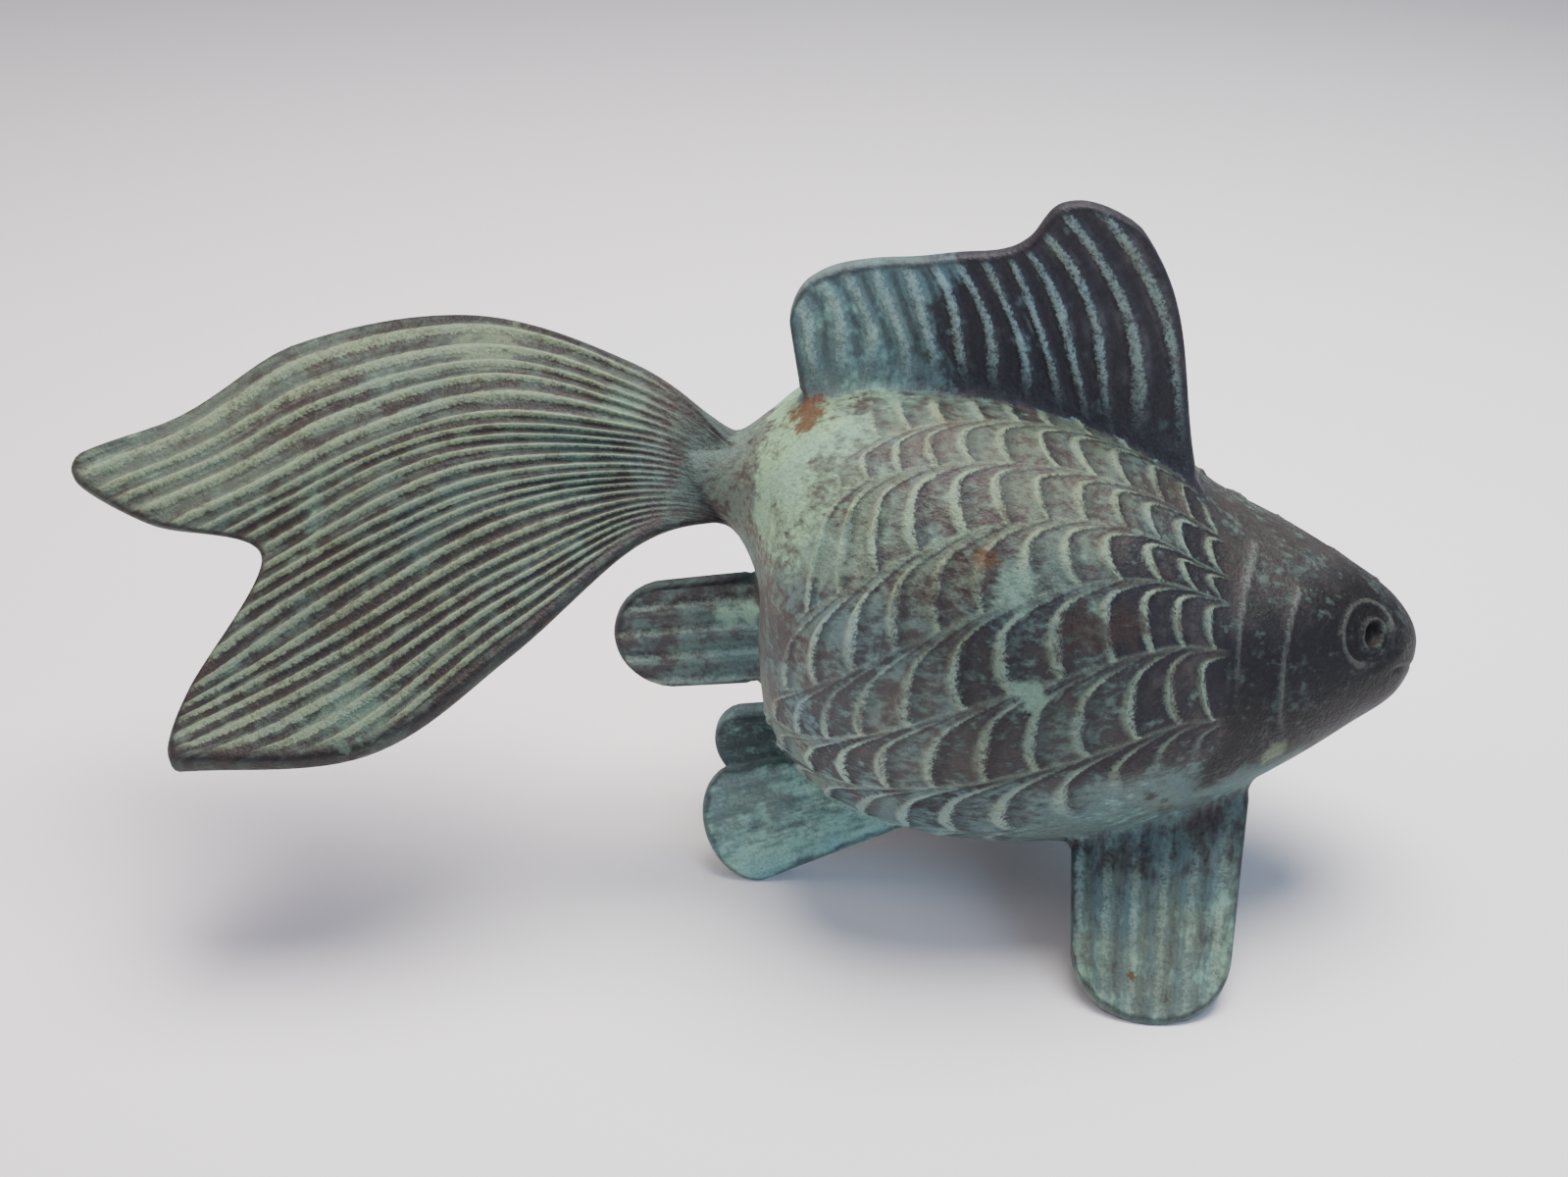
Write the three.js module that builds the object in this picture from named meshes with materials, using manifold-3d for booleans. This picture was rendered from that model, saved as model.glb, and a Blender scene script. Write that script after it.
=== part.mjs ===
// A bronze goldfish figurine, cast in one piece, standing on its paired fins.
// Lengths are in millimetres. The fish heads along +X, its left side is +Y, and +Z is up.
import * as THREE from 'three';
import { mergeVertices } from 'three/addons/utils/BufferGeometryUtils.js';
import Module from 'manifold-3d';

const wasm = await Module();
wasm.setup();

// Body: one row for each station from the tail stalk to the nose.
// Each holds the back line x, z, the belly line x, z, and the half width between them.
const BODY_STATIONS = [
  [-26.0, 91.5, -27.0, 77.0, 2.6],
  [-16.0, 91.5, -17.0, 76.0, 5.0],
  [-9.0, 93.4, -9.5, 73.5, 9.0],
  [-3.0, 97.4, -4.5, 63.0, 17.0],
  [4.0, 102.3, -4.6, 50.0, 27.0],
  [13.0, 105.5, -3.0, 35.0, 35.0],
  [25.0, 106.0, 5.0, 22.5, 41.0],
  [40.0, 104.0, 19.0, 13.5, 43.5],
  [56.0, 99.5, 40.0, 9.5, 43.5],
  [71.0, 92.5, 64.0, 11.0, 40.0],
  [86.0, 82.0, 84.0, 19.0, 34.0],
  [100.0, 75.0, 100.0, 28.0, 26.5],
  [112.0, 68.0, 112.0, 36.0, 19.0],
  [122.0, 60.8, 122.0, 43.0, 10.8],
  [126.0, 52.8, 126.0, 52.8, 0.0],
];
const NOSE = BODY_STATIONS.length - 1;

// Scales: edges of the scale rows, in degrees down from the back line,
// given at the gills, at mid body and at the rear of the body.
const ROW_EDGES = [
  [0, 0, 0],
  [6, 13, 46],
  [21, 27, 57],
  [35, 45, 106],
  [44, 67, 139],
  [60, 91, 155],
  [83, 115, 164],
  [106, 140, 170],
  [130, 158, 174],
  [155, 170, 177],
  [180, 180, 180],
];
const ROW_COUNT = ROW_EDGES.length - 1;
const CARVED_ROWS = 7;
const GILL_STATION = 9.5;
const MIDDLE_STATION = 7.0;
const REAR_STATION = 4.2;
const SCALES_END = 9.76;
const SCALE_PITCH = 0.43;
const SCALE_COUNT = 13;
const SCALE_BULGE = 0.95;
const BULGE_MIDDLE = 0.3;
const SCALE_HEIGHT = 0.75;
const SCALE_HOLLOW = 0.35;
const SCALE_EDGE_LOSS = 0.35;
const SCALE_STEPS = [
  { back: 0.0, lift: SCALE_HEIGHT },
  { back: 0.22, lift: -SCALE_HOLLOW },
  { back: 0.62, lift: -0.5 * SCALE_HOLLOW },
];
const ROW_STEPS = [1, 3, 3, 3, 3, 2, 2, 1, 1, 1];

// Where the scales fade: stations at the rear, on the smooth upper flank, and for their bulge
// at the two ends; the upper flank's fade moves back by a share of a station for each row down.
const FADE_REAR = [4.1, 4.7];
const FADE_UPPER = [5.0, 5.7];
const FADE_UPPER_ROW = 2.2;
const FADE_UPPER_SLANT = 0.45;
const FADE_BELLY = [CARVED_ROWS + 0.6, CARVED_ROWS - 0.4];
const BULGE_REAR = [4.0, 4.8];
const BULGE_FRONT = [9.95, 9.3];

// Where the body's plain rings lie: on the tail stalk, and from the gills to the nose.
const STALK_RINGS = 5;
const STALK_END = 3.9;
const HEAD_RINGS = [9.9, 10.03, 10.16, 10.32, 10.9, 11.6, 12.3, 12.9, 13.5];

// Head: the gill cover's ridge, and an eye with two raised rings on each cheek. Places on the
// body are a station and an angle down from the back line, in degrees.
const GILL_RIDGE = {
  station: 10.03, curve: 0.36, angle: 60, reach: 50, ends: [1.15, 0.85], height: 0.9, width: 0.09,
};
const EYE = { station: 12.1, angle: 46 };
const EYE_RINGS = [
  { radius: 6.2, wire: 0.75, sides: 12 },
  { radius: 2.8, wire: 0.65, sides: 8 },
];

// Dorsal fin: foot line and top line from rear to front, x and z, in the plane of symmetry.
const DORSAL_FOOT = [
  [3.5, 101], [12.5, 102], [22, 102.5], [31.5, 101.5], [41.5, 99.5],
  [51, 96], [61, 91.5], [70, 87], [81.8, 81],
];
const DORSAL_TOP = [
  [0.3, 122.8], [8.0, 128.1], [15.9, 130.1], [24.8, 130.8], [32.2, 131.8],
  [40.0, 132.6], [45.0, 135.2], [50.2, 141.6], [60.5, 142.2],
];
const DORSAL = {
  thickness: 4.2, ribs: 13, ribHeight: 0.6, bow: 5.6, bowRise: 2.0, stacks: 5,
  flare: 3.4, flareEnd: 0.35,
};

// The dorsal fin's top corners are drawn in by shares of its height; a higher power keeps the
// rounding closer to the corner.
const DORSAL_CORNERS = { rear: 0.1, rearPower: 13, front: 0.03, frontPower: 14 };

// Tail fin: five rays from the top edge to the lower edge, each from the stalk to its end.
const TAIL_RAYS = [
  [[-9, 0.5, 93], [-30.5, 14, 101], [-66, 29, 103.2], [-104.5, 24, 96.8], [-147.5, 0.4, 80.2]],
  [[-10, 0, 89.5], [-31, 5, 94.5], [-58.5, 8, 97], [-89, 4, 88.5], [-126.5, -6.5, 73]],
  [[-11, -0.5, 85.5], [-30.5, -2, 88.5], [-56.5, -6, 88], [-75.5, -10, 83], [-101.5, -12.5, 69.5]],
  [[-11, -1, 81.5], [-30, -8, 82.5], [-51.5, -18, 77.5], [-79, -26, 65], [-112.2, -34, 50.6]],
  [[-11, -1.5, 76], [-27.5, -14, 75.8], [-49.5, -34, 62.3], [-75.5, -48, 48.2], [-113.4, -50, 44.8]],
];
const TAIL = { thickness: 4.8, ribs: 19, ribHeight: 0.55, stacks: 8, flare: 1.2, flareEnd: 0.3 };

// The tail's corners are drawn back by shares of its length, and its top edge dips near its end.
const TAIL_CORNERS = { top: 0.03, lower: 0.012, power: 16 };
const TAIL_DIP = { depth: 4.2, start: 0.74, power: 4 };

// Paddle fins: a foot point inside the body, the way the fin runs and the way across it,
// its length, half widths at foot and tip, and how far the tip is rounded.
const PECTORAL = {
  foot: [76.5, -13.8, 33], along: [-2.5, -32, -25], across: [1, 0, 0],
  length: 55, halfFoot: 18, halfTip: 15.2, round: 14, thickness: 4.4, ribs: 6, ribHeight: 0.55,
  flare: 3, flareEnd: 0.5,
};
const PELVIC = {
  foot: [32.4, -8.6, 23.1], along: [-30, -4, -9], across: [3, -5, -18],
  length: 50, halfFoot: 8.5, halfTip: 12.6, round: 9, thickness: 4.4, ribs: 5, ribHeight: 0.35,
  flare: 2.5, flareEnd: 0.5,
};
const ANAL = {
  foot: [2, 0, 51.2], along: [-1, 0, -0.13], across: [0, 0, 1],
  length: 37, halfFoot: 12.6, halfTip: 11.6, round: 11, thickness: 4.4, ribs: 4, ribHeight: 0.5,
  flare: 2, flareEnd: 0.35,
};
const PADDLE_STACKS = 4;

// Ribs of the fins: where the crest and the hollow lie in each rib's share of the width, the
// hollow's depth against the crest's height, and the way out over which the ribs rise.
const RIB_CREST = 0.32;
const RIB_HOLLOW = 0.82;
const HOLLOW_DEPTH = 0.6;
const RIB_RISE = 0.25;

// The fins that touch the ground are cut flat by a cube of this side below it.
const GROUND = 600;

const RADIANS = Math.PI / 180;

// A smooth curve through evenly spaced rows of numbers; the rows past each end are given.
function throughRows(rows, before, after, position) {
  const last = rows.length - 1;
  const start = Math.min(Math.max(Math.floor(position), 0), last - 1);
  const f = position - start;
  const a = start === 0 ? before : rows[start - 1];
  const d = start === last - 1 ? after : rows[start + 2];
  return rows[start].map((b, i) => {
    const c = rows[start + 1][i];
    return 0.5 * (2 * b + (c - a[i]) * f + (2 * a[i] - 5 * b + 4 * c - d[i]) * f * f
      + (3 * b - a[i] - 3 * c + d[i]) * f * f * f);
  });
}

// The row past the end of a list, in a straight line with its last two.
function straightOn(end, inner) {
  return end.map((value, i) => 2 * value - inner[i]);
}

function openCurve(rows, position) {
  const last = rows.length - 1;
  return throughRows(rows, straightOn(rows[0], rows[1]), straightOn(rows[last], rows[last - 1]), position);
}

// Sections as middle x, z, half depth x, z and half width. Past the nose the halves turn over,
// so that the nose closes round.
const SECTIONS = BODY_STATIONS.map(([bx, bz, ux, uz, half]) => [
  (bx + ux) / 2, (bz + uz) / 2, (bx - ux) / 2, (bz - uz) / 2, half,
]);
const PAST_TAIL = straightOn(SECTIONS[0], SECTIONS[1]);
const PAST_NOSE = SECTIONS[NOSE - 1].map((value, i) => (i < 2 ? value : -value));

// A point of the smooth body: the angle runs from 0 on the back line, down the right side.
function bodyPoint(station, angle) {
  const [mx, mz, hx, hz, half] = throughRows(SECTIONS, PAST_TAIL, PAST_NOSE, station);
  const c = Math.cos(angle);
  return new THREE.Vector3(mx + hx * c, -half * Math.sin(angle), mz + hz * c);
}

function bodyNormal(station, angle) {
  const step = 0.02;
  const s = Math.min(Math.max(station, step), NOSE - 2 * step);
  const along = bodyPoint(s + step, angle).sub(bodyPoint(s - step, angle));
  const round = bodyPoint(s, angle + step).sub(bodyPoint(s, angle - step));
  return round.cross(along).normalize().negate();
}

// The angle down from the back of a place in the scale rows: a parabola through the row's
// angles at the gills, mid body and rear.
function rowAngle(row, station) {
  const [gill, middle, rear] = openCurve(ROW_EDGES, row);
  const rearward = Math.min(Math.max((GILL_STATION - station) / (GILL_STATION - REAR_STATION), 0), 1);
  const m = (GILL_STATION - MIDDLE_STATION) / (GILL_STATION - REAR_STATION);
  const square = (rear - gill - (middle - gill) / m) / (1 - m);
  const slope = rear - gill - square;
  return Math.min(Math.max(gill + slope * rearward + square * rearward * rearward, 0), 180) * RADIANS;
}

function smooth(low, high, value) {
  const f = Math.min(Math.max((value - low) / (high - low), 0), 1);
  return f * f * (3 - 2 * f);
}

// How strongly the scales are carved: they fade out at the tail stalk and below the belly.
function scaleStrength(row, station) {
  const shift = FADE_UPPER_SLANT * (FADE_UPPER_ROW - row);
  const upper = shift > 0 ? smooth(FADE_UPPER[0] + shift, FADE_UPPER[1] + shift, station) : 1;
  return upper * smooth(...FADE_REAR, station) * smooth(...FADE_BELLY, row);
}

// The gill cover's ridge, a low roll across the cheek.
function gillLift(row, station) {
  const degrees = rowAngle(row, station) / RADIANS;
  const off = (degrees - GILL_RIDGE.angle) / GILL_RIDGE.reach;
  const line = GILL_RIDGE.station + GILL_RIDGE.curve * off * off;
  const ends = smooth(...GILL_RIDGE.ends, Math.abs(off));
  return ends * GILL_RIDGE.height * Math.exp(-(((station - line) / GILL_RIDGE.width) ** 2));
}

// Stations of the body's rings: the stalk, then three to a scale, then the head.
function bodyRings() {
  const rings = [];
  for (let k = 0; k < STALK_RINGS; k += 1) {
    rings.push({ station: (k / STALK_RINGS) * STALK_END, lift: 0, carved: 0 });
  }
  for (let scale = SCALE_COUNT - 1; scale >= 0; scale -= 1) {
    for (const { back, lift } of [...SCALE_STEPS].reverse()) {
      rings.push({ station: SCALES_END - (scale + back) * SCALE_PITCH, lift, carved: 1 });
    }
  }
  for (const station of HEAD_RINGS) {
    rings.push({ station, lift: 0, carved: 0 });
  }
  return rings;
}

// Places round one side of the body, counted in scale rows.
function rowPlaces() {
  const places = [];
  for (let row = 0; row < ROW_COUNT; row += 1) {
    for (let k = 0; k < ROW_STEPS[row]; k += 1) {
      places.push(row + k / ROW_STEPS[row]);
    }
  }
  places.push(ROW_COUNT);
  return places;
}

// The crescents of a row lie back in its middle and run forward to its edges.
function bulge(row) {
  const across = 2 * (row - Math.floor(row)) - 1;
  return across * across;
}

function carvedBodyPoint(ring, row, side) {
  const strength = ring.carved * scaleStrength(row, ring.station);
  const fade = ring.carved * smooth(...BULGE_REAR, ring.station) * smooth(...BULGE_FRONT, ring.station);
  const station = ring.station + SCALE_BULGE * SCALE_PITCH * fade * (bulge(row) - BULGE_MIDDLE);
  const angle = rowAngle(row, station);
  const scale = strength * ring.lift * (1 - SCALE_EDGE_LOSS * bulge(row));
  const lift = scale + gillLift(row, station);
  const point = bodyPoint(station, angle).addScaledVector(bodyNormal(station, angle), lift);
  point.y *= side;
  return point;
}

// A closed geometry from triangles' corner indices, turned so that it encloses a positive volume.
function closedGeometry(points, triangles) {
  let volume = 0;
  for (let i = 0; i < triangles.length; i += 3) {
    const [a, b, c] = [points[triangles[i]], points[triangles[i + 1]], points[triangles[i + 2]]];
    volume += a.dot(b.clone().cross(c));
  }
  const index = volume > 0 ? triangles : triangles.toReversed();
  const geometry = new THREE.BufferGeometry().setFromPoints(points);
  geometry.setIndex(index);
  return geometry;
}

// Joins rings of equal size into a skin, and closes each end on one point.
function skinOverRings(rings, startPoint, endPoint) {
  const size = rings[0].length;
  const points = rings.flat();
  const start = points.push(startPoint) - 1;
  const end = points.push(endPoint) - 1;
  const triangles = [];
  for (let k = 0; k < size; k += 1) {
    const next = (k + 1) % size;
    triangles.push(start, next, k);
    for (let ring = 0; ring < rings.length - 1; ring += 1) {
      const low = ring * size;
      const high = low + size;
      triangles.push(low + k, low + next, high + k, low + next, high + next, high + k);
    }
    const top = (rings.length - 1) * size;
    triangles.push(top + k, top + next, end);
  }
  return closedGeometry(points, triangles);
}

function bodyGeometry() {
  const places = rowPlaces();
  const rings = bodyRings().map((ring) => {
    const right = places.map((row) => carvedBodyPoint(ring, row, 1));
    const left = places.slice(1, -1).reverse().map((row) => carvedBodyPoint(ring, row, -1));
    return [...right, ...left];
  });
  const tail = bodyPoint(0, 0).add(bodyPoint(0, Math.PI)).multiplyScalar(0.5);
  return skinOverRings(rings, tail, bodyPoint(NOSE, 0));
}

// Places across a ribbed fin, from -1 to 1: each rib's crest and the hollow after it.
function ribPlaces(ribs) {
  const places = [{ across: -1, crest: 0 }];
  for (let k = 0; k < ribs; k += 1) {
    places.push({ across: -1 + (2 * (k + RIB_CREST)) / ribs, crest: 1 });
    places.push({ across: -1 + (2 * (k + RIB_HOLLOW)) / ribs, crest: -HOLLOW_DEPTH });
  }
  places.push({ across: 1, crest: 0 });
  return places;
}

// A fin as a plate: both faces stand off its middle surface by half its thickness and the ribs.
// The middle surface is a function of the place across and the place out from the foot.
function plateGeometry(middle, { thickness, ribs, ribHeight, stacks, flare, flareEnd }) {
  const places = ribPlaces(ribs);
  const points = [];
  const step = 0.01;
  for (let row = 0; row <= stacks; row += 1) {
    const out = row / stacks;
    for (const { across, crest } of places) {
      const u = Math.min(Math.max(across, -1 + step), 1 - step);
      const v = Math.min(Math.max(out, step), 1 - step);
      const wide = middle(u + step, v).sub(middle(u - step, v));
      const long = middle(u, v + step).sub(middle(u, v - step));
      const normal = wide.cross(long).normalize();
      const fillet = flare * Math.max(0, 1 - out / flareEnd) ** 2;
      const ribbed = crest * ribHeight * smooth(0, RIB_RISE, out);
      const half = 0.5 * thickness + ribbed + fillet;
      const centre = middle(across, out);
      points.push(centre.clone().addScaledVector(normal, half));
      points.push(centre.clone().addScaledVector(normal, -half));
    }
  }
  const wide = places.length;
  const front = (row, k) => 2 * (row * wide + k);
  const back = (row, k) => front(row, k) + 1;
  const triangles = [];
  const quad = (a, b, c, d) => triangles.push(a, b, c, a, c, d);
  for (let row = 0; row < stacks; row += 1) {
    for (let k = 0; k < wide - 1; k += 1) {
      quad(front(row, k), front(row, k + 1), front(row + 1, k + 1), front(row + 1, k));
      quad(back(row, k), back(row + 1, k), back(row + 1, k + 1), back(row, k + 1));
    }
    quad(front(row, 0), front(row + 1, 0), back(row + 1, 0), back(row, 0));
    quad(front(row, wide - 1), back(row, wide - 1), back(row + 1, wide - 1), front(row + 1, wide - 1));
  }
  for (let k = 0; k < wide - 1; k += 1) {
    quad(front(0, k), back(0, k), back(0, k + 1), front(0, k + 1));
    quad(front(stacks, k), front(stacks, k + 1), back(stacks, k + 1), back(stacks, k));
  }
  return closedGeometry(points, triangles);
}

// The dorsal fin's middle surface: rays from the foot line to the top line, bowed forward.
function dorsalMiddle(across, out) {
  const [corner, power] = across < 0
    ? [DORSAL_CORNERS.rear, DORSAL_CORNERS.rearPower]
    : [DORSAL_CORNERS.front, DORSAL_CORNERS.frontPower];
  const height = out * (1 - corner * Math.abs(across) ** power);
  const place = ((across + 1) / 2) * (DORSAL_FOOT.length - 1);
  const [fx, fz] = openCurve(DORSAL_FOOT, place);
  const [tx, tz] = openCurve(DORSAL_TOP, place);
  const rise = Math.max(height, 0) ** DORSAL.bowRise;
  const forward = ((across + 1) / 2) ** 4;
  const bow = DORSAL.bow * forward * 4 * rise * (1 - rise);
  return new THREE.Vector3(fx + (tx - fx) * height + bow, 0, fz + (tz - fz) * height);
}

// The tail's middle surface: a smooth sheet through the five rays.
function tailMiddle(across, out) {
  const share = (across + 1) / 2;
  const corner = across < 0 ? TAIL_CORNERS.top : TAIL_CORNERS.lower;
  const place = out * (1 - corner * Math.abs(across) ** TAIL_CORNERS.power);
  const rays = TAIL_RAYS.map((ray) => openCurve(ray, place * (ray.length - 1)));
  const [x, y, z] = openCurve(rays, share * (TAIL_RAYS.length - 1));
  const past = Math.min(Math.max((out - TAIL_DIP.start) / (1 - TAIL_DIP.start), 0), 1);
  const dip = TAIL_DIP.depth * (1 - share) ** TAIL_DIP.power * Math.sin(Math.PI * past) ** 2;
  return new THREE.Vector3(x, y, z - dip);
}

// A paddle fin's middle surface: straight sides and a rounded tip.
function paddleMiddle(fin, side) {
  const mirror = new THREE.Vector3(1, side, 1);
  const foot = new THREE.Vector3(...fin.foot).multiply(mirror);
  const along = new THREE.Vector3(...fin.along).multiply(mirror).normalize();
  const across = new THREE.Vector3(...fin.across).multiply(mirror);
  across.addScaledVector(along, -across.dot(along)).normalize();
  return (u, v) => {
    const length = fin.length - fin.round * (1 - Math.sqrt(Math.max(0, 1 - u * u)));
    const half = fin.halfFoot + (fin.halfTip - fin.halfFoot) * v;
    return foot.clone().addScaledVector(along, v * length).addScaledVector(across, u * half);
  };
}

function paddleGeometry(fin, side) {
  return plateGeometry(paddleMiddle(fin, side), { ...fin, stacks: PADDLE_STACKS });
}

// The place on the right cheek nearest to a point: Newton steps in station and angle.
function settleOnBody(target, station, angle) {
  const step = 0.01;
  let place = [station, angle];
  for (let pass = 0; pass < 6; pass += 1) {
    const [s, a] = place;
    const off = target.clone().sub(bodyPoint(s, a));
    const along = bodyPoint(s + step, a).sub(bodyPoint(s - step, a)).divideScalar(2 * step);
    const round = bodyPoint(s, a + step).sub(bodyPoint(s, a - step)).divideScalar(2 * step);
    const [aa, ar, rr] = [along.dot(along), along.dot(round), round.dot(round)];
    const [oa, or] = [off.dot(along), off.dot(round)];
    const area = aa * rr - ar * ar;
    place = [s + (oa * rr - or * ar) / area, a + (or * aa - oa * ar) / area];
  }
  return place;
}

// A raised ring round the eye: a wire of four sides laid on the cheek, its keel sunk in it.
function eyeRing({ radius, wire, sides }, side) {
  const angle = EYE.angle * RADIANS;
  const centre = bodyPoint(EYE.station, angle);
  const outward = bodyNormal(EYE.station, angle);
  const forward = new THREE.Vector3(1, 0, 0).addScaledVector(outward, -outward.x).normalize();
  const upward = outward.clone().cross(forward);
  const points = [];
  const triangles = [];
  for (let k = 0; k < sides; k += 1) {
    const turn = (2 * Math.PI * k) / sides;
    const spoke = forward.clone().multiplyScalar(Math.cos(turn)).addScaledVector(upward, Math.sin(turn));
    const [s, a] = settleOnBody(centre.clone().addScaledVector(spoke, radius), EYE.station, angle);
    const seat = bodyPoint(s, a);
    const lift = bodyNormal(s, a);
    for (const [away, up] of [[wire, 0], [0, wire], [-wire, 0], [0, -2 * wire]]) {
      const corner = seat.clone().addScaledVector(spoke, away).addScaledVector(lift, up);
      corner.y *= side;
      points.push(corner);
    }
    for (let j = 0; j < 4; j += 1) {
      const [p, q] = [4 * k + j, 4 * k + ((j + 1) % 4)];
      const [pn, qn] = [p, q].map((corner) => (corner + 4) % (4 * sides));
      triangles.push(p, q, pn, q, qn, pn);
    }
  }
  return closedGeometry(points, triangles);
}

function solid(geometry) {
  const bare = geometry.clone();
  bare.deleteAttribute('normal');
  bare.deleteAttribute('uv');
  const merged = mergeVertices(bare, 1e-4);
  return new wasm.Manifold(new wasm.Mesh({
    numProp: 3,
    vertProperties: new Float32Array(merged.attributes.position.array),
    triVerts: new Uint32Array(merged.index.array),
  }));
}

function castInOne() {
  const pieces = [
    plateGeometry(dorsalMiddle, DORSAL),
    plateGeometry(tailMiddle, TAIL),
    paddleGeometry(ANAL, 1),
    ...[1, -1].flatMap((side) => [
      paddleGeometry(PECTORAL, side),
      paddleGeometry(PELVIC, side),
      ...EYE_RINGS.map((ring) => eyeRing(ring, side)),
    ]),
  ];
  const whole = pieces.reduce((sum, piece) => sum.add(solid(piece)), solid(bodyGeometry()));
  const ground = new THREE.BoxGeometry(GROUND, GROUND, GROUND).translate(0, 0, -GROUND / 2);
  return whole.subtract(solid(ground));
}

const cast = castInOne().getMesh();
const geometry = new THREE.BufferGeometry();
geometry.setAttribute('position', new THREE.BufferAttribute(cast.vertProperties, 3));
geometry.setIndex(new THREE.BufferAttribute(cast.triVerts, 1));
geometry.computeBoundingBox();
const middle = geometry.boundingBox.getCenter(new THREE.Vector3());
geometry.translate(-middle.x, -middle.y, 0);
geometry.computeVertexNormals();

const bronze = new THREE.MeshStandardMaterial({ color: 0x55665f, roughness: 0.75, metalness: 0.3 });
const goldfish = new THREE.Mesh(geometry, bronze);
goldfish.name = 'goldfish';

const figurine = new THREE.Group();
figurine.add(goldfish);
export default figurine;
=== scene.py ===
"""Looks of a bronze goldfish figurine: one patinated casting on a pale floor.

The casting is worked out as smooth surfaces of two parameters in millimetres, carved with
scales, ribs, gill ridges and eyes, fused into one closed mesh and dressed in verdigris.
"""

import logging
import math
from dataclasses import dataclass, field, replace
from enum import Enum
from typing import Any, Sequence

import bpy
import numpy as np
from mathutils import Euler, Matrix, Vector

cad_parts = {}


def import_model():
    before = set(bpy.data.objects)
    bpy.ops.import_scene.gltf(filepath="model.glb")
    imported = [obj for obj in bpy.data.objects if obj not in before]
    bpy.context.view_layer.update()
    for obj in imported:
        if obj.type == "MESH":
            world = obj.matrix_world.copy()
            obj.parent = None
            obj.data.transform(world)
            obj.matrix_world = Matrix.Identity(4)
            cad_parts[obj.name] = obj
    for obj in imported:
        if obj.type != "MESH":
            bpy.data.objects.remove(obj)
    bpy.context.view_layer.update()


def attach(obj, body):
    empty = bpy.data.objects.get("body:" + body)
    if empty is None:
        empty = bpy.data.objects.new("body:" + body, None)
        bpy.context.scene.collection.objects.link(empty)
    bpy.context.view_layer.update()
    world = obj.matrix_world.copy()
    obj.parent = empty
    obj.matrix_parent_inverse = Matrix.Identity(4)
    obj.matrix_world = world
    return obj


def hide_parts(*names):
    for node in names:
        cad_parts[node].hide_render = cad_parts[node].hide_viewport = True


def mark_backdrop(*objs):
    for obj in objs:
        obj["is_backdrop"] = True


LOG = logging.getLogger("goldfish")
Array = np.ndarray

MM = 0.001
MIDDLE_X = 8.694          # the casting's lengths are measured from a point this far behind its middle


def smooth(low: float, high: float, value: Array) -> Array:
    """Soft step: 0 below low, 1 above high, with the cubic 3f^2 - 2f^3 between them.

    Args:
        low: Value where the step leaves 0; it may be above high for a falling step.
        high: Value where the step reaches 1.
        value: Values to put through the step.

    Returns:
        The step's heights.
    """
    f = np.clip((value - low) / (high - low), 0.0, 1.0)
    return f * f * (3.0 - 2.0 * f)


def cubic(a: Array, b: Array, c: Array, d: Array, f: Array) -> Array:
    """One piece of a Catmull-Rom curve: the cubic from b to c, with slopes half of c - a and d - b.

    Args:
        a: The value before b.
        b: The value where the piece starts.
        c: The value where it ends.
        d: The value after c.
        f: Shares of the way from b to c.

    Returns:
        The values at those shares.
    """
    return 0.5 * (2 * b + (c - a) * f + (2 * a - 5 * b + 4 * c - d) * f**2
                  + (3 * b - a - 3 * c + d) * f**3)


def through_rows(rows: Array, before: Array, after: Array, place: Array) -> Array:
    """Catmull-Rom curve through evenly spaced rows.

    Args:
        rows: Values to pass through, one row for each whole place.
        before: The row before the first.
        after: The row after the last.
        place: Places along the rows.

    Returns:
        The values at those places, with one more axis than place.
    """
    padded = np.vstack([before, rows, after])
    start = np.clip(np.floor(place).astype(int), 0, len(rows) - 2)
    return cubic(*(padded[start + k] for k in range(4)), (place - start)[..., None])


def open_curve(rows: Array, place: Array) -> Array:
    """Catmull-Rom curve whose ends run on straight.

    Args:
        rows: Values to pass through.
        place: Places along the rows.

    Returns:
        The values at those places.
    """
    return through_rows(rows, 2 * rows[0] - rows[1], 2 * rows[-1] - rows[-2], place)


def unit(vectors: Array) -> Array:
    """Vectors divided by their lengths."""
    return vectors / np.maximum(np.linalg.norm(vectors, axis=-1, keepdims=True), 1e-9)


def scatter(a: Array, b: Array, seed: float) -> Array:
    """Repeatable numbers from 0 to 1: the fraction of a large sine of the two inputs."""
    wave = np.sin(a * 12.9898 + b * 78.233 + seed) * 43758.5453
    return wave - np.floor(wave)


def read(items: Any, name: str, kind: type, width: int = 1) -> Array:
    """One property of all of a mesh's corners, edges, faces or loops.

    Args:
        items: The mesh's collection of them.
        name: The property's name.
        kind: Type of its numbers.
        width: How many numbers each of them has.

    Returns:
        The numbers, in rows where there is more than one for each.
    """
    values = np.empty(len(items) * width, kind)
    items.foreach_get(name, values)
    return values.reshape(-1, width) if width > 1 else values


class Part(Enum):
    """The forms that are fused into the casting; the value is a face's mark while it is made."""

    BODY = 0
    DORSAL = 1
    TAIL = 2
    ANAL = 3
    PECTORAL = 4
    PELVIC = 5


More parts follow.
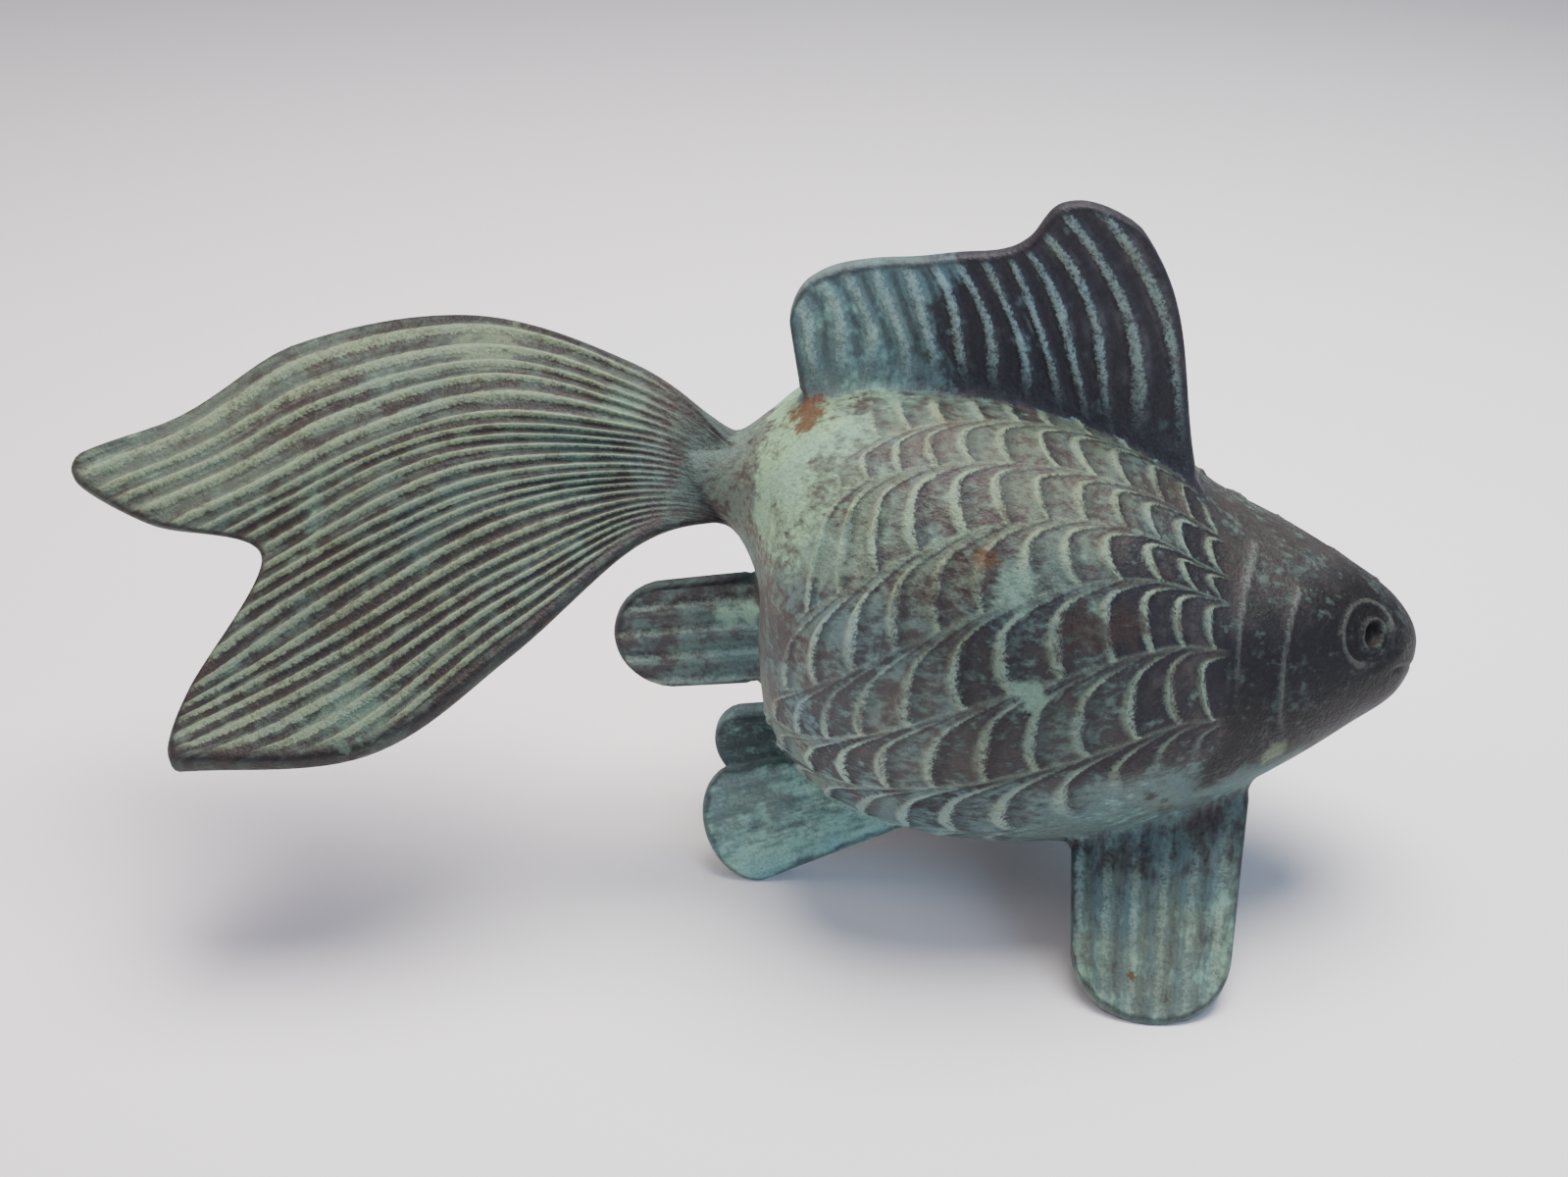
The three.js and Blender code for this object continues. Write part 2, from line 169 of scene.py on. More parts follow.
@dataclass
class Shell:
    """A closed skin: corners in millimetres, four-cornered and three-cornered faces, and marks.

    Attributes:
        points: Corner places.
        quads: Faces of four corners.
        triangles: Faces of three corners.
        pattern: For each corner, the two coordinates that the carving follows.
        strength: For each corner, how strongly scales and ribs are carved.
        rim: For each corner of a fin, how far it lies from the free edge in millimetres; for the
            body, how light or dark a line of the face is there, from 1 to -1.
        part: Which form this is.
    """

    points: Array
    quads: Array
    triangles: Array
    pattern: Array
    strength: Array
    rim: Array
    part: Part

    def facing_out(self) -> "Shell":
        """Turn every face over if the skin encloses a negative volume.

        Returns:
            This shell, with its faces pointing outwards.
        """
        corners = self.points[self.quads]
        first = np.cross(corners[:, 1] - corners[:, 0], corners[:, 2] - corners[:, 0])
        second = np.cross(corners[:, 2] - corners[:, 0], corners[:, 3] - corners[:, 0])
        volume = np.sum(corners[:, 0] * (first + second))
        if volume < 0:
            self.quads = self.quads[:, ::-1]
            self.triangles = self.triangles[:, ::-1]
        return self

    def form(self) -> Array:
        """For each corner, the number of its form and its rim mark."""
        return np.stack([np.full(len(self.rim), float(self.part.value)), self.rim], axis=-1)


def mesh_of(name: str, shells: Sequence[Shell]) -> bpy.types.Object:
    """Put shells into one mesh object, in metres.

    Args:
        name: Name of the object.
        shells: Closed skins that don't cut each other.

    Returns:
        The object, with a corner layer for each mark and a material index for each form.
    """
    offsets = np.cumsum([0] + [len(s.points) for s in shells])
    points = np.vstack([s.points for s in shells])
    quads = np.vstack([s.quads + o for s, o in zip(shells, offsets)])
    triangles = np.vstack([s.triangles + o for s, o in zip(shells, offsets)])
    loops = np.concatenate([quads.ravel(), triangles.ravel()]).astype(np.int32)
    sizes = np.concatenate([np.full(len(quads), 4), np.full(len(triangles), 3)])
    starts = np.concatenate([[0], np.cumsum(sizes)[:-1]]).astype(np.int32)
    marks = np.concatenate([np.full(len(s.quads), s.part.value) for s in shells]
                           + [np.full(len(s.triangles), s.part.value) for s in shells])
    mesh = bpy.data.meshes.new(name)
    mesh.vertices.add(len(points))
    mesh.vertices.foreach_set("co", ((points + (MIDDLE_X, 0, 0)) * MM).astype(np.float32).ravel())
    mesh.loops.add(len(loops))
    mesh.loops.foreach_set("vertex_index", loops)
    mesh.polygons.add(len(starts))
    mesh.polygons.foreach_set("loop_start", starts)
    mesh.polygons.foreach_set("material_index", marks.astype(np.int32))
    mesh.update(calc_edges=True)
    for layer, values in (("pattern", np.vstack([s.pattern for s in shells])),
                          ("strength", np.vstack([s.strength for s in shells])),
                          ("form", np.vstack([s.form() for s in shells]))):
        uv = mesh.uv_layers.new(name=layer, do_init=False)
        uv.data.foreach_set("uv", values[loops].astype(np.float32).ravel())
    mesh.validate()
    obj = bpy.data.objects.new(name, mesh)
    bpy.context.scene.collection.objects.link(obj)
    for part in Part:
        mesh.materials.append(bpy.data.materials.get(part.name) or bpy.data.materials.new(part.name))
    return obj


@dataclass(frozen=True)
class ScaleCarving:
    """The lunate scales: a rounded crescent rims the rear of each, and its face dips ahead of it.

    Attributes:
        ridge_stations: Stations of the crescents' rearmost points, from the gills back.
        forward_upper: How far the upper arm reaches forward, in scales.
        forward_lower: How far the lower arm reaches forward, in scales.
        rearmost: Where in its row a crescent lies furthest back.
        upper_power: How late the upper arm turns forward.
        lower_power: How late the lower arm turns forward.
        arm_width: Half width of the crescent's roll in its arms, in scales.
        belly_width: What is added to that at its fullest point.
        fullest: Where in its row the roll is fullest.
        ridge: Height of the crescents in millimetres.
        overlap: How far a scale's rear edge stands over the next scale.
        hollow: Depth of the hollow ahead of a crescent.
        seam: Height of the line where the arms meet along a row's edge.
        aspect: A scale's length over its row's height.
        pitch: Length of a scale past the listed stations, in stations.
    """

    ridge_stations: tuple[float, ...] = (
        10.0, 9.65, 9.28, 8.88, 8.42, 7.97, 7.53, 7.1, 6.66, 6.22, 5.79, 5.35, 4.92, 4.5, 4.1, 3.7)
    forward_upper: float = 1.42
    forward_lower: float = 0.42
    rearmost: float = 0.4
    upper_power: float = 3.0
    lower_power: float = 2.2
    arm_width: float = 0.06
    belly_width: float = 0.065
    fullest: float = 0.55
    ridge: float = 0.6
    overlap: float = 0.34
    hollow: float = 0.22
    seam: float = 0.12
    aspect: float = 0.42
    pitch: float = 0.43

    def phase(self, station: Array, row: Array) -> Array:
        """Count crescents rearward from the gills, by the places where they lie furthest back.

        Args:
            station: Stations along the body.
            row: Places across the scale rows.

        Returns:
            The count, with a slow sway of under a tenth of a scale for the hand's unevenness.
        """
        stations = np.array(self.ridge_stations)[::-1]
        counts = np.arange(len(stations), dtype=float)[::-1] - 1.0
        slope = 1.0 / self.pitch
        count = np.interp(station, stations, counts)
        count = np.where(station > stations[-1], counts[-1] - (station - stations[-1]) * slope, count)
        count = np.where(station < stations[0], counts[0] + (stations[0] - station) * slope, count)
        sway = 0.07 * np.sin(1.9 * station + 2.3 * row) + 0.05 * np.sin(4.1 * station - 3.3 * row + 1.0)
        return count + sway

    def relief(self, phase: Array, row: Array) -> Array:
        """Height of the carving in millimetres.

        The distance to the nearest crescent, in scales, is the phase's offset over the steepness
        of its slope across the row. The roll is a squared cosine of it. A sawtooth lifts each face
        towards its rear edge, and a bell makes the hollow just ahead of the roll.

        Args:
            phase: Count of crescents at the point.
            row: Place across the rows.

        Returns:
            The height above the smooth body.
        """
        across = row - np.floor(row)
        above = np.maximum(0.0, 1.0 - across / self.rearmost)
        below = np.maximum(0.0, (across - self.rearmost) / (1.0 - self.rearmost))
        place = (phase + self.forward_upper * above**self.upper_power
                 + self.forward_lower * below**self.lower_power)
        steep = self.aspect * (
            self.forward_upper * self.upper_power / self.rearmost * above ** (self.upper_power - 1)
            + self.forward_lower * self.lower_power / (1 - self.rearmost)
            * below ** (self.lower_power - 1))
        offset = place - np.round(place)
        away = offset / np.hypot(1.0, steep)
        width = self.arm_width + self.belly_width * np.exp(-(((across - self.fullest) / 0.3) ** 2))
        size = 0.75 + 0.4 * scatter(np.round(place) + np.floor(row), np.floor(row), 3.1)
        roll = np.cos(np.clip(away / (1.5 * width), -1, 1) * math.pi / 2) ** 2
        ahead = np.where(offset < 0, -offset, 1.0 - offset)
        face = (1.0 - ahead) ** 1.5 * smooth(0.0, 0.35, ahead + (offset < 0) * (1 - ahead))
        dish = np.exp(-(((away + 2.2 * width) / (1.2 * width)) ** 2))
        calm = 1.0 / (1.0 + (steep / 1.3) ** 2)
        seam = self.seam * np.exp(-((np.minimum(across, 1.0 - across) / 0.06) ** 2))
        return calm * (size * self.ridge * roll + self.overlap * face - self.hollow * dish) + seam


@dataclass(frozen=True)
class CheekLine:
    """A raised or sunk line on the body, drawn through places given as station and degrees.

    Attributes:
        places: Stations and angles down from the back line, in degrees.
        height: Height in millimetres, below zero for a groove.
        width: Half width of the line's bell.
        taper: Lengths over which its two ends die away.
        tint: How light the line is, below zero for a dark one.
    """

    places: tuple[tuple[float, float], ...]
    height: float
    width: float
    taper: tuple[float, float] = (6.0, 6.0)
    tint: float = 0.8


@dataclass(frozen=True)
class Eye:
    """An eye on the cheek: an outer ring, a dished iris, and an inner ring round a pit.

    Attributes:
        station: Station of the outer ring's centre.
        angle: Degrees down from the back line.
        outer: Radius of the outer ring in millimetres.
        inner: Radius of the inner ring.
        shift: How far the inner ring lies ahead of the outer one's centre.
        drop: How far it lies below.
        lean: How far the rings lean ahead for each millimetre up.
        wire: Half width of the outer ring's bell.
        height: Height of the outer ring.
        dish: Depth of the iris.
        pit: Depth of the pupil.
    """

    station: float = 12.13
    angle: float = 47.2
    outer: float = 6.7
    inner: float = 2.8
    shift: float = 1.9
    drop: float = 0.25
    lean: float = 0.32
    wire: float = 0.6
    height: float = 0.6
    dish: float = 0.45
    pit: float = 1.5

    def relief(self, ahead: Array, above: Array) -> tuple[Array, Array]:
        """Height of the eye at places in the plane of the cheek, and how it is tinted there.

        Two bells on circles make the rings; the iris is a shallow dish inside the outer ring,
        and the pupil a soft pit inside the inner one.

        Args:
            ahead: Millimetres ahead of the centre.
            above: Millimetres above it.

        Returns:
            The height above the smooth cheek, and marks from 1 on the rings to -1 in the hollows.
        """
        upright = ahead - self.lean * above
        far = np.hypot(upright * 1.08, above)
        near = np.hypot(upright - self.shift, (above + self.drop) * 0.85)
        # The outer ring is weak towards its lower front and low along its top.
        low_front = smooth(0.35, 0.95, np.cos(np.arctan2(above, ahead) + 0.75))
        high = 1 - 0.75 * smooth(2.0, self.outer, above)
        ring = np.exp(-(((far - self.outer) / self.wire) ** 2))
        pupil_ring = np.exp(-(((near - self.inner) / (0.85 * self.wire)) ** 2))
        iris = smooth(self.outer, self.outer - 1.3, far)
        pupil = smooth(self.inner - 0.2, self.inner - 1.5, near)
        height = (self.height * (high * (1 - 0.55 * low_front) * ring + pupil_ring)
                  - self.dish * iris - self.pit * pupil)
        light = np.maximum((1 - 0.8 * low_front) * ring, 0.9 * pupil_ring * (1 - 0.5 * low_front))
        return height, light - np.maximum(0.55 * iris, pupil) * (1 - light)


@dataclass(frozen=True)
class Body:
    """The body and head: ellipse-like sections between a back line and a belly line.

    Attributes:
        stations: Back line x and z, belly line x and z, and half width, from tail stalk to nose.
        row_edges: Edges of the scale rows in degrees down from the back line, at the gills, at
            mid body and at the rear.
        columns: Number of faces across each scale row.
        gill_station: Station where the first of the row edges' three angles holds.
        middle_station: Station where the second holds.
        rear_station: Station where the third holds.
        carved_rows: Number of rows that are carved, down from the back line.
        ring_bow: How far the rings bow forward with the crescents, in scales.
        worn_patch: Station, row, half length and half height of a worn patch on the flank.
        face_start: Station ahead of which the face's lines are drawn.
        ring_runs: First and last station and number of rings of the stalk, the scales, the cheek,
            the face and the snout.
        scales: The scales' carving.
        eye: The eyes.
        lines: The two gill lines, the mouth's groove and the soft fold ahead of the eye.
    """

    stations: tuple[tuple[float, ...], ...] = (
        (-26.0, 91.5, -27.0, 77.0, 2.6), (-16.0, 91.5, -17.0, 76.0, 5.0),
        (-9.0, 93.4, -9.5, 73.5, 9.0), (-3.0, 97.4, -4.5, 63.0, 17.0),
        (4.0, 102.3, -4.6, 50.0, 27.0), (13.0, 105.5, -3.0, 35.0, 35.0),
        (25.0, 106.0, 5.0, 22.5, 41.0), (40.0, 104.0, 19.0, 13.5, 43.5),
        (56.0, 99.5, 40.0, 9.5, 43.5), (71.0, 92.5, 64.0, 11.0, 40.0),
        (86.0, 82.0, 84.0, 19.0, 34.0), (100.0, 75.0, 100.0, 28.0, 26.5),
        (112.0, 68.0, 112.0, 36.0, 19.0), (122.0, 60.8, 122.0, 43.0, 10.8),
        (126.0, 52.8, 126.0, 52.8, 0.0))
    row_edges: tuple[tuple[float, ...], ...] = (
        (0, 0, 0), (6, 13, 46), (21, 27, 57), (35, 45, 106), (44, 67, 139), (60, 91, 155),
        (83, 115, 164), (106, 140, 170), (130, 158, 174), (155, 170, 177), (180, 180, 180))
    columns: tuple[int, ...] = (10, 13, 13, 13, 13, 13, 13, 12, 8, 7)
    gill_station: float = 9.5
    middle_station: float = 7.0
    rear_station: float = 4.2
    carved_rows: float = 7.0
    ring_bow: float = 0.95
    worn_patch: tuple[float, float, float, float] = (5.9, 4.3, 0.75, 0.6)
    face_start: float = 9.0
    ring_runs: tuple[tuple[float, float, int], ...] = (
        (0.0, 3.9, 20), (3.9, 9.95, 134), (9.95, 11.4, 26), (11.4, 12.95, 42), (12.95, 13.97, 18))
    scales: ScaleCarving = ScaleCarving()
    eye: Eye = Eye()
    lines: tuple[CheekLine, ...] = (
        CheekLine(((10.34, 11), (10.32, 17), (10.26, 26), (10.16, 36), (10.1, 44), (10.07, 52),
                   (10.06, 60), (10.06, 68), (10.08, 76), (10.13, 86), (10.25, 97)),
                  0.55, 0.85, (4, 22)),
        CheekLine(((10.93, 27), (10.92, 32), (10.87, 39), (10.77, 47), (10.73, 55), (10.68, 61),
                   (10.66, 70), (10.67, 78), (10.69, 87), (10.74, 100)), 0.6, 0.65, (4, 4), 0.95),
        CheekLine(((13.8, 180), (13.72, 150), (13.5, 118), (13.2, 94), (12.97, 83), (12.78, 80.5),
                   (12.65, 81.5), (12.5, 83.7)), -0.5, 0.6, (0, 7), -0.9),
        CheekLine(((13.1, 54), (12.86, 63), (12.66, 68), (12.48, 73), (12.3, 78), (12.13, 82)),
                  0.3, 1.3, (4, 5), 0.15),
    )

    def sections(self) -> Array:
        """Middle x, z, half depth x, z and half width of each station."""
        bx, bz, ux, uz, half = np.array(self.stations).T
        return np.stack([(bx + ux) / 2, (bz + uz) / 2, (bx - ux) / 2, (bz - uz) / 2, half], axis=1)

    @property
    def nose(self) -> int:
        """Station of the nose's tip."""
        return len(self.stations) - 1

    def point(self, station: Array, angle: Array) -> Array:
        """Points of the smooth body.

        Each section is the middle, plus the half depth times the angle's cosine, with the half
        width times its sine to the right. Past the nose the halves turn over, so it closes round.

        Args:
            station: Places along the body.
            angle: Angles down from the back line in radians, positive on the right side.

        Returns:
            Points in millimetres.
        """
        rows = self.sections()
        past_nose = rows[-2] * np.array([1, 1, -1, -1, -1])
        mx, mz, hx, hz, half = np.moveaxis(
            through_rows(rows, 2 * rows[0] - rows[1], past_nose, station), -1, 0)
        c = np.cos(angle)
        return np.stack([mx + hx * c, -half * np.sin(angle), mz + hz * c], axis=-1)

    def normal(self, station: Array, angle: Array) -> Array:
        """Outward unit normals, from central differences of the surface.

        Args:
            station: Places along the body.
            angle: Angles in radians.

        Returns:
            Unit normals.
        """
        step = 0.01
        s = np.clip(station, step, self.nose - 3 * step)
        along = self.point(s + step, angle) - self.point(s - step, angle)
        around = self.point(s, angle + step) - self.point(s, angle - step)
        return unit(np.cross(around, along))

    def angle(self, row: Array, station: Array) -> Array:
        """Angle of a place in the scale rows.

        A parabola in the share of the way rearward runs through the row's angles at the gills,
        at mid body and at the rear.

        Args:
            row: Places across the rows, 0 at the back line.
            station: Places along the body.

        Returns:
            Angles down from the back line in radians.
        """
        gill, middle, rear = np.moveaxis(open_curve(np.array(self.row_edges, float), row), -1, 0)
        reach = self.gill_station - self.rear_station
        rearward = np.clip((self.gill_station - station) / reach, 0, 1)
        m = (self.gill_station - self.middle_station) / reach
        square = (rear - gill - (middle - gill) / m) / (1 - m)
        slope = rear - gill - square
        return np.radians(np.clip(gill + slope * rearward + square * rearward**2, 0, 180))

    def scale_strength(self, row: Array, station: Array) -> Array:
        """How strongly the scales are carved: less at the stalk, upper rear, gills and belly,
        and on a worn patch behind the middle of the flank.

        Args:
            row: Places across the rows.
            station: Places along the body.

        Returns:
            Shares from 0 to 1.
        """
        # The upper rows begin further forward than the others, and end sooner at the gills.
        shift = np.maximum(0.0, 0.3 * (2.4 - row))
        upper = smooth(0, 1, (station - 4.6 - shift) / 0.6)
        rear = smooth(3.9, 4.5, station)
        front = smooth(10.02, 9.85, station + 0.35 * np.maximum(0.0, 2.3 - row))
        # The lowest rows and the first one run out on the way to the gills.
        last = self.carved_rows - 1.3 * smooth(7.6, 9.4, station)
        belly = smooth(1.2, -0.2, row - last)
        top = smooth(0.0, 0.25, row - 0.35 - 0.5 * smooth(8.3, 9.2, station))
        middle, height, half_length, half_height = self.worn_patch
        worn = np.exp(-(((station - middle) / half_length) ** 2) - ((row - height) / half_height) ** 2)
        return upper * rear * front * belly * top * (1 - 0.75 * worn)

    def line_height(self, points: Array, line: CheekLine) -> Array:
        """Height that a line on the cheek adds.

        The height is a bell of the distance to the nearest of the line's short straight pieces,
        less where that piece is near an end.

        Args:
            points: Points of the smooth body on the right side.
            line: The line.

        Returns:
            Heights in millimetres.
        """
        places = open_curve(np.array(line.places, float), np.linspace(0, len(line.places) - 1, 60))
        path = self.point(places[:, 0], np.radians(places[:, 1]))
        flat = points.reshape(-1, 3)
        best = np.full(len(flat), 1e9)
        run = np.zeros(len(flat))
        length = 0.0
        for a, b in zip(path[:-1], path[1:]):
            span = b - a
            size = np.linalg.norm(span)
            f = np.clip((flat - a) @ span / size**2, 0, 1)
            off = np.linalg.norm(flat - a - f[:, None] * span, axis=1)
            closer = off < best
            best = np.where(closer, off, best)
            run = np.where(closer, length + f * size, run)
            length += size
        ends = smooth(-0.01, line.taper[0], run) * smooth(length + 0.01, length - line.taper[1], run)
        return (line.height * ends * np.exp(-((best / line.width) ** 2))).reshape(points.shape[:-1])

    def eye_height(self, points: Array) -> tuple[Array, Array]:
        """Height that the eye adds, measured in the plane of the cheek at its centre.

        It fades out between 9 and 12 mm from there, so that the other cheek stays plain.

        Args:
            points: Points of the smooth body on the right side.

        Returns:
            Heights in millimetres, and the tint's marks.
        """
        angle = math.radians(self.eye.angle)
        centre = self.point(np.array(self.eye.station), np.array(angle))
        outward = self.normal(np.array(self.eye.station), np.array(angle))
        forward = unit(np.array([1.0, 0, 0]) - outward[0] * outward)
        upward = np.cross(outward, forward)
        off = points - centre
        height, mark = self.eye.relief(off @ forward, off @ upward)
        near = smooth(12.0, 9.0, np.linalg.norm(off, axis=-1))
        return height * near, mark * near

    def ring_stations(self) -> tuple[Array, Array]:
        """Stations of the rings, and how far each follows the crescents.

        Returns:
            The stations, close together on the scales and the eye, and shares from 0 to 1.
        """
        *runs, snout = self.ring_runs
        pieces = [np.linspace(first, last, number, endpoint=False) for first, last, number in runs]
        stations = np.concatenate([*pieces, np.linspace(*snout)])
        return stations, smooth(3.9, 4.8, stations) * smooth(10.0, 9.4, stations)

    def row_places(self) -> Array:
        """Places across one side, in scale rows, with more of them on the carved rows."""
        pieces = [row + np.arange(n) / n for row, n in enumerate(self.columns)]
        return np.append(np.concatenate(pieces), float(len(self.columns)))

    @staticmethod
    def both_sides(right: Array, turn: Any = 1) -> Array:
        """Rings of the right side, run on up the left one with the same values times turn."""
        return np.concatenate([right, right[:, -2:0:-1] * turn], axis=1)

    @staticmethod
    def ring_faces(count: int, size: int) -> tuple[Array, Array]:
        """Faces of a skin of rings with a corner at each end, numbered after the rings' own.

        Args:
            count: Number of rings.
            size: Number of corners in each.

        Returns:
            The quads between the rings, and the triangles that fan out from both ends.
        """
        index = np.arange(count * size).reshape(count, size)
        after = np.roll(index, -1, axis=1)
        quads = np.stack([index[:-1], after[:-1], after[1:], index[1:]], axis=-1).reshape(-1, 4)
        tail, nose = np.full(size, count * size), np.full(size, count * size + 1)
        fans = [np.stack([tail, after[0], index[0]], axis=-1),
                np.stack([nose, index[-1], after[-1]], axis=-1)]
        return quads, np.concatenate(fans)

    def carve(self, ring: Array, station: Array, rows: Array) -> tuple[Array, Array, Array, Array]:
        """Carve the right side: the smooth body, moved along its normals by the relief's height.

        The relief is that of the scales times their strength, plus the eye and the face's lines.

        Args:
            ring: Station of each ring.
            station: Stations of the corners.
            rows: Their places across the scale rows.

        Returns:
            The corners' points, the scales' phases, their strengths and the marks of the face.
        """
        angle = self.angle(rows, station)
        points = self.point(station, angle)
        phase = self.scales.phase(station, rows)
        strength = self.scale_strength(rows, station)
        lift = strength * self.scales.relief(phase, rows)
        drawn = np.zeros_like(lift)
        head = ring > self.face_start
        eye, drawn[head] = self.eye_height(points[head])
        lift[head] += eye
        for line in self.lines:
            height = self.line_height(points[head], line)
            lift[head] += height
            drawn[head] += line.tint * height / line.height
        return points + lift[..., None] * self.normal(station, angle), phase, strength, drawn

    def shell(self) -> Shell:
        """The carved body as one closed skin of rings, with a point at each end.

        On the scales the rings bow forward by bow * (u^2 - 0.3) in each row, u being -1 and 1 at
        its edges, so that they lie along the crescents.

        Returns:
            The shell.
        """
        ring, follow = self.ring_stations()
        row = self.row_places()
        across = 2 * (row - np.floor(row)) - 1
        bow = self.ring_bow * self.scales.pitch * (across**2 - 0.3)
        station = ring[:, None] + follow[:, None] * bow[None, :]
        rows = np.broadcast_to(row, station.shape)
        right, phase, strength, drawn = self.carve(ring, station, rows)
        points = self.both_sides(right, np.array([1, -1, 1]))
        pattern = self.both_sides(np.stack([phase, rows], axis=-1))
        marks = self.both_sides(np.stack([strength, np.zeros_like(strength)], axis=-1))
        rim = self.both_sides(drawn)
        tail_end = self.point(np.zeros(2), np.array([0, math.pi])).mean(axis=0)
        nose_end = self.point(np.array(float(self.nose)), np.array(0.0))
        quads, fans = self.ring_faces(*rim.shape)
        return Shell(
            points=np.vstack([points.reshape(-1, 3), tail_end, nose_end]), quads=quads, triangles=fans,
            pattern=np.vstack([pattern.reshape(-1, 2), pattern[0, 0], pattern[-1, 0]]),
            strength=np.vstack([marks.reshape(-1, 2), marks[0, 0], marks[-1, 0]]),
            rim=np.append(rim.ravel(), (0.0, 0.0)), part=Part.BODY).facing_out()


@dataclass(frozen=True)
class RibCarving:
    """Ribs of a fin: narrow rounded crests with wide hollows between them.

    Attributes:
        count: Number of ribs across the fin.
        height: From hollow to crest, in millimetres.
        crest: Where the crest lies in each rib's share of the width.
        sharpness: Power of the cosine that makes the crest.
        start: Place out along the fin where the ribs are first full.
        extra: Share of the height of the short ribs between the long ones.
    """

    count: int
    height: float
    crest: float = 0.32
    sharpness: float = 2.2
    start: float = 0.2
    extra: float = 0.35

    def relief(self, rib: Array, out: Array) -> Array:
        """Height of the ribs in millimetres.

        The crest is an even power of a cosine across each rib; between two crests some ribs have
        a short one of their own, which fades in and out along the fin.

        Args:
            rib: Places across the fin counted in ribs.
            out: Places out from the foot, 0 to 1.

        Returns:
            The height above the fin's plain face.
        """
        place = rib - self.crest
        crest = np.abs(np.cos(math.pi * place)) ** (2 * self.sharpness)
        between = np.abs(np.sin(math.pi * place)) ** (4 * self.sharpness)
        which = np.floor(place)
        begin = 0.1 + 0.5 * scatter(which, which, 1.7)
        short = smooth(0, 0.12, out - begin) * smooth(0, 0.15, begin + 0.38 - out)
        chosen = scatter(which, which, 5.3) > 0.45
        return self.height * (crest - 0.45 + self.extra * between * short * chosen)


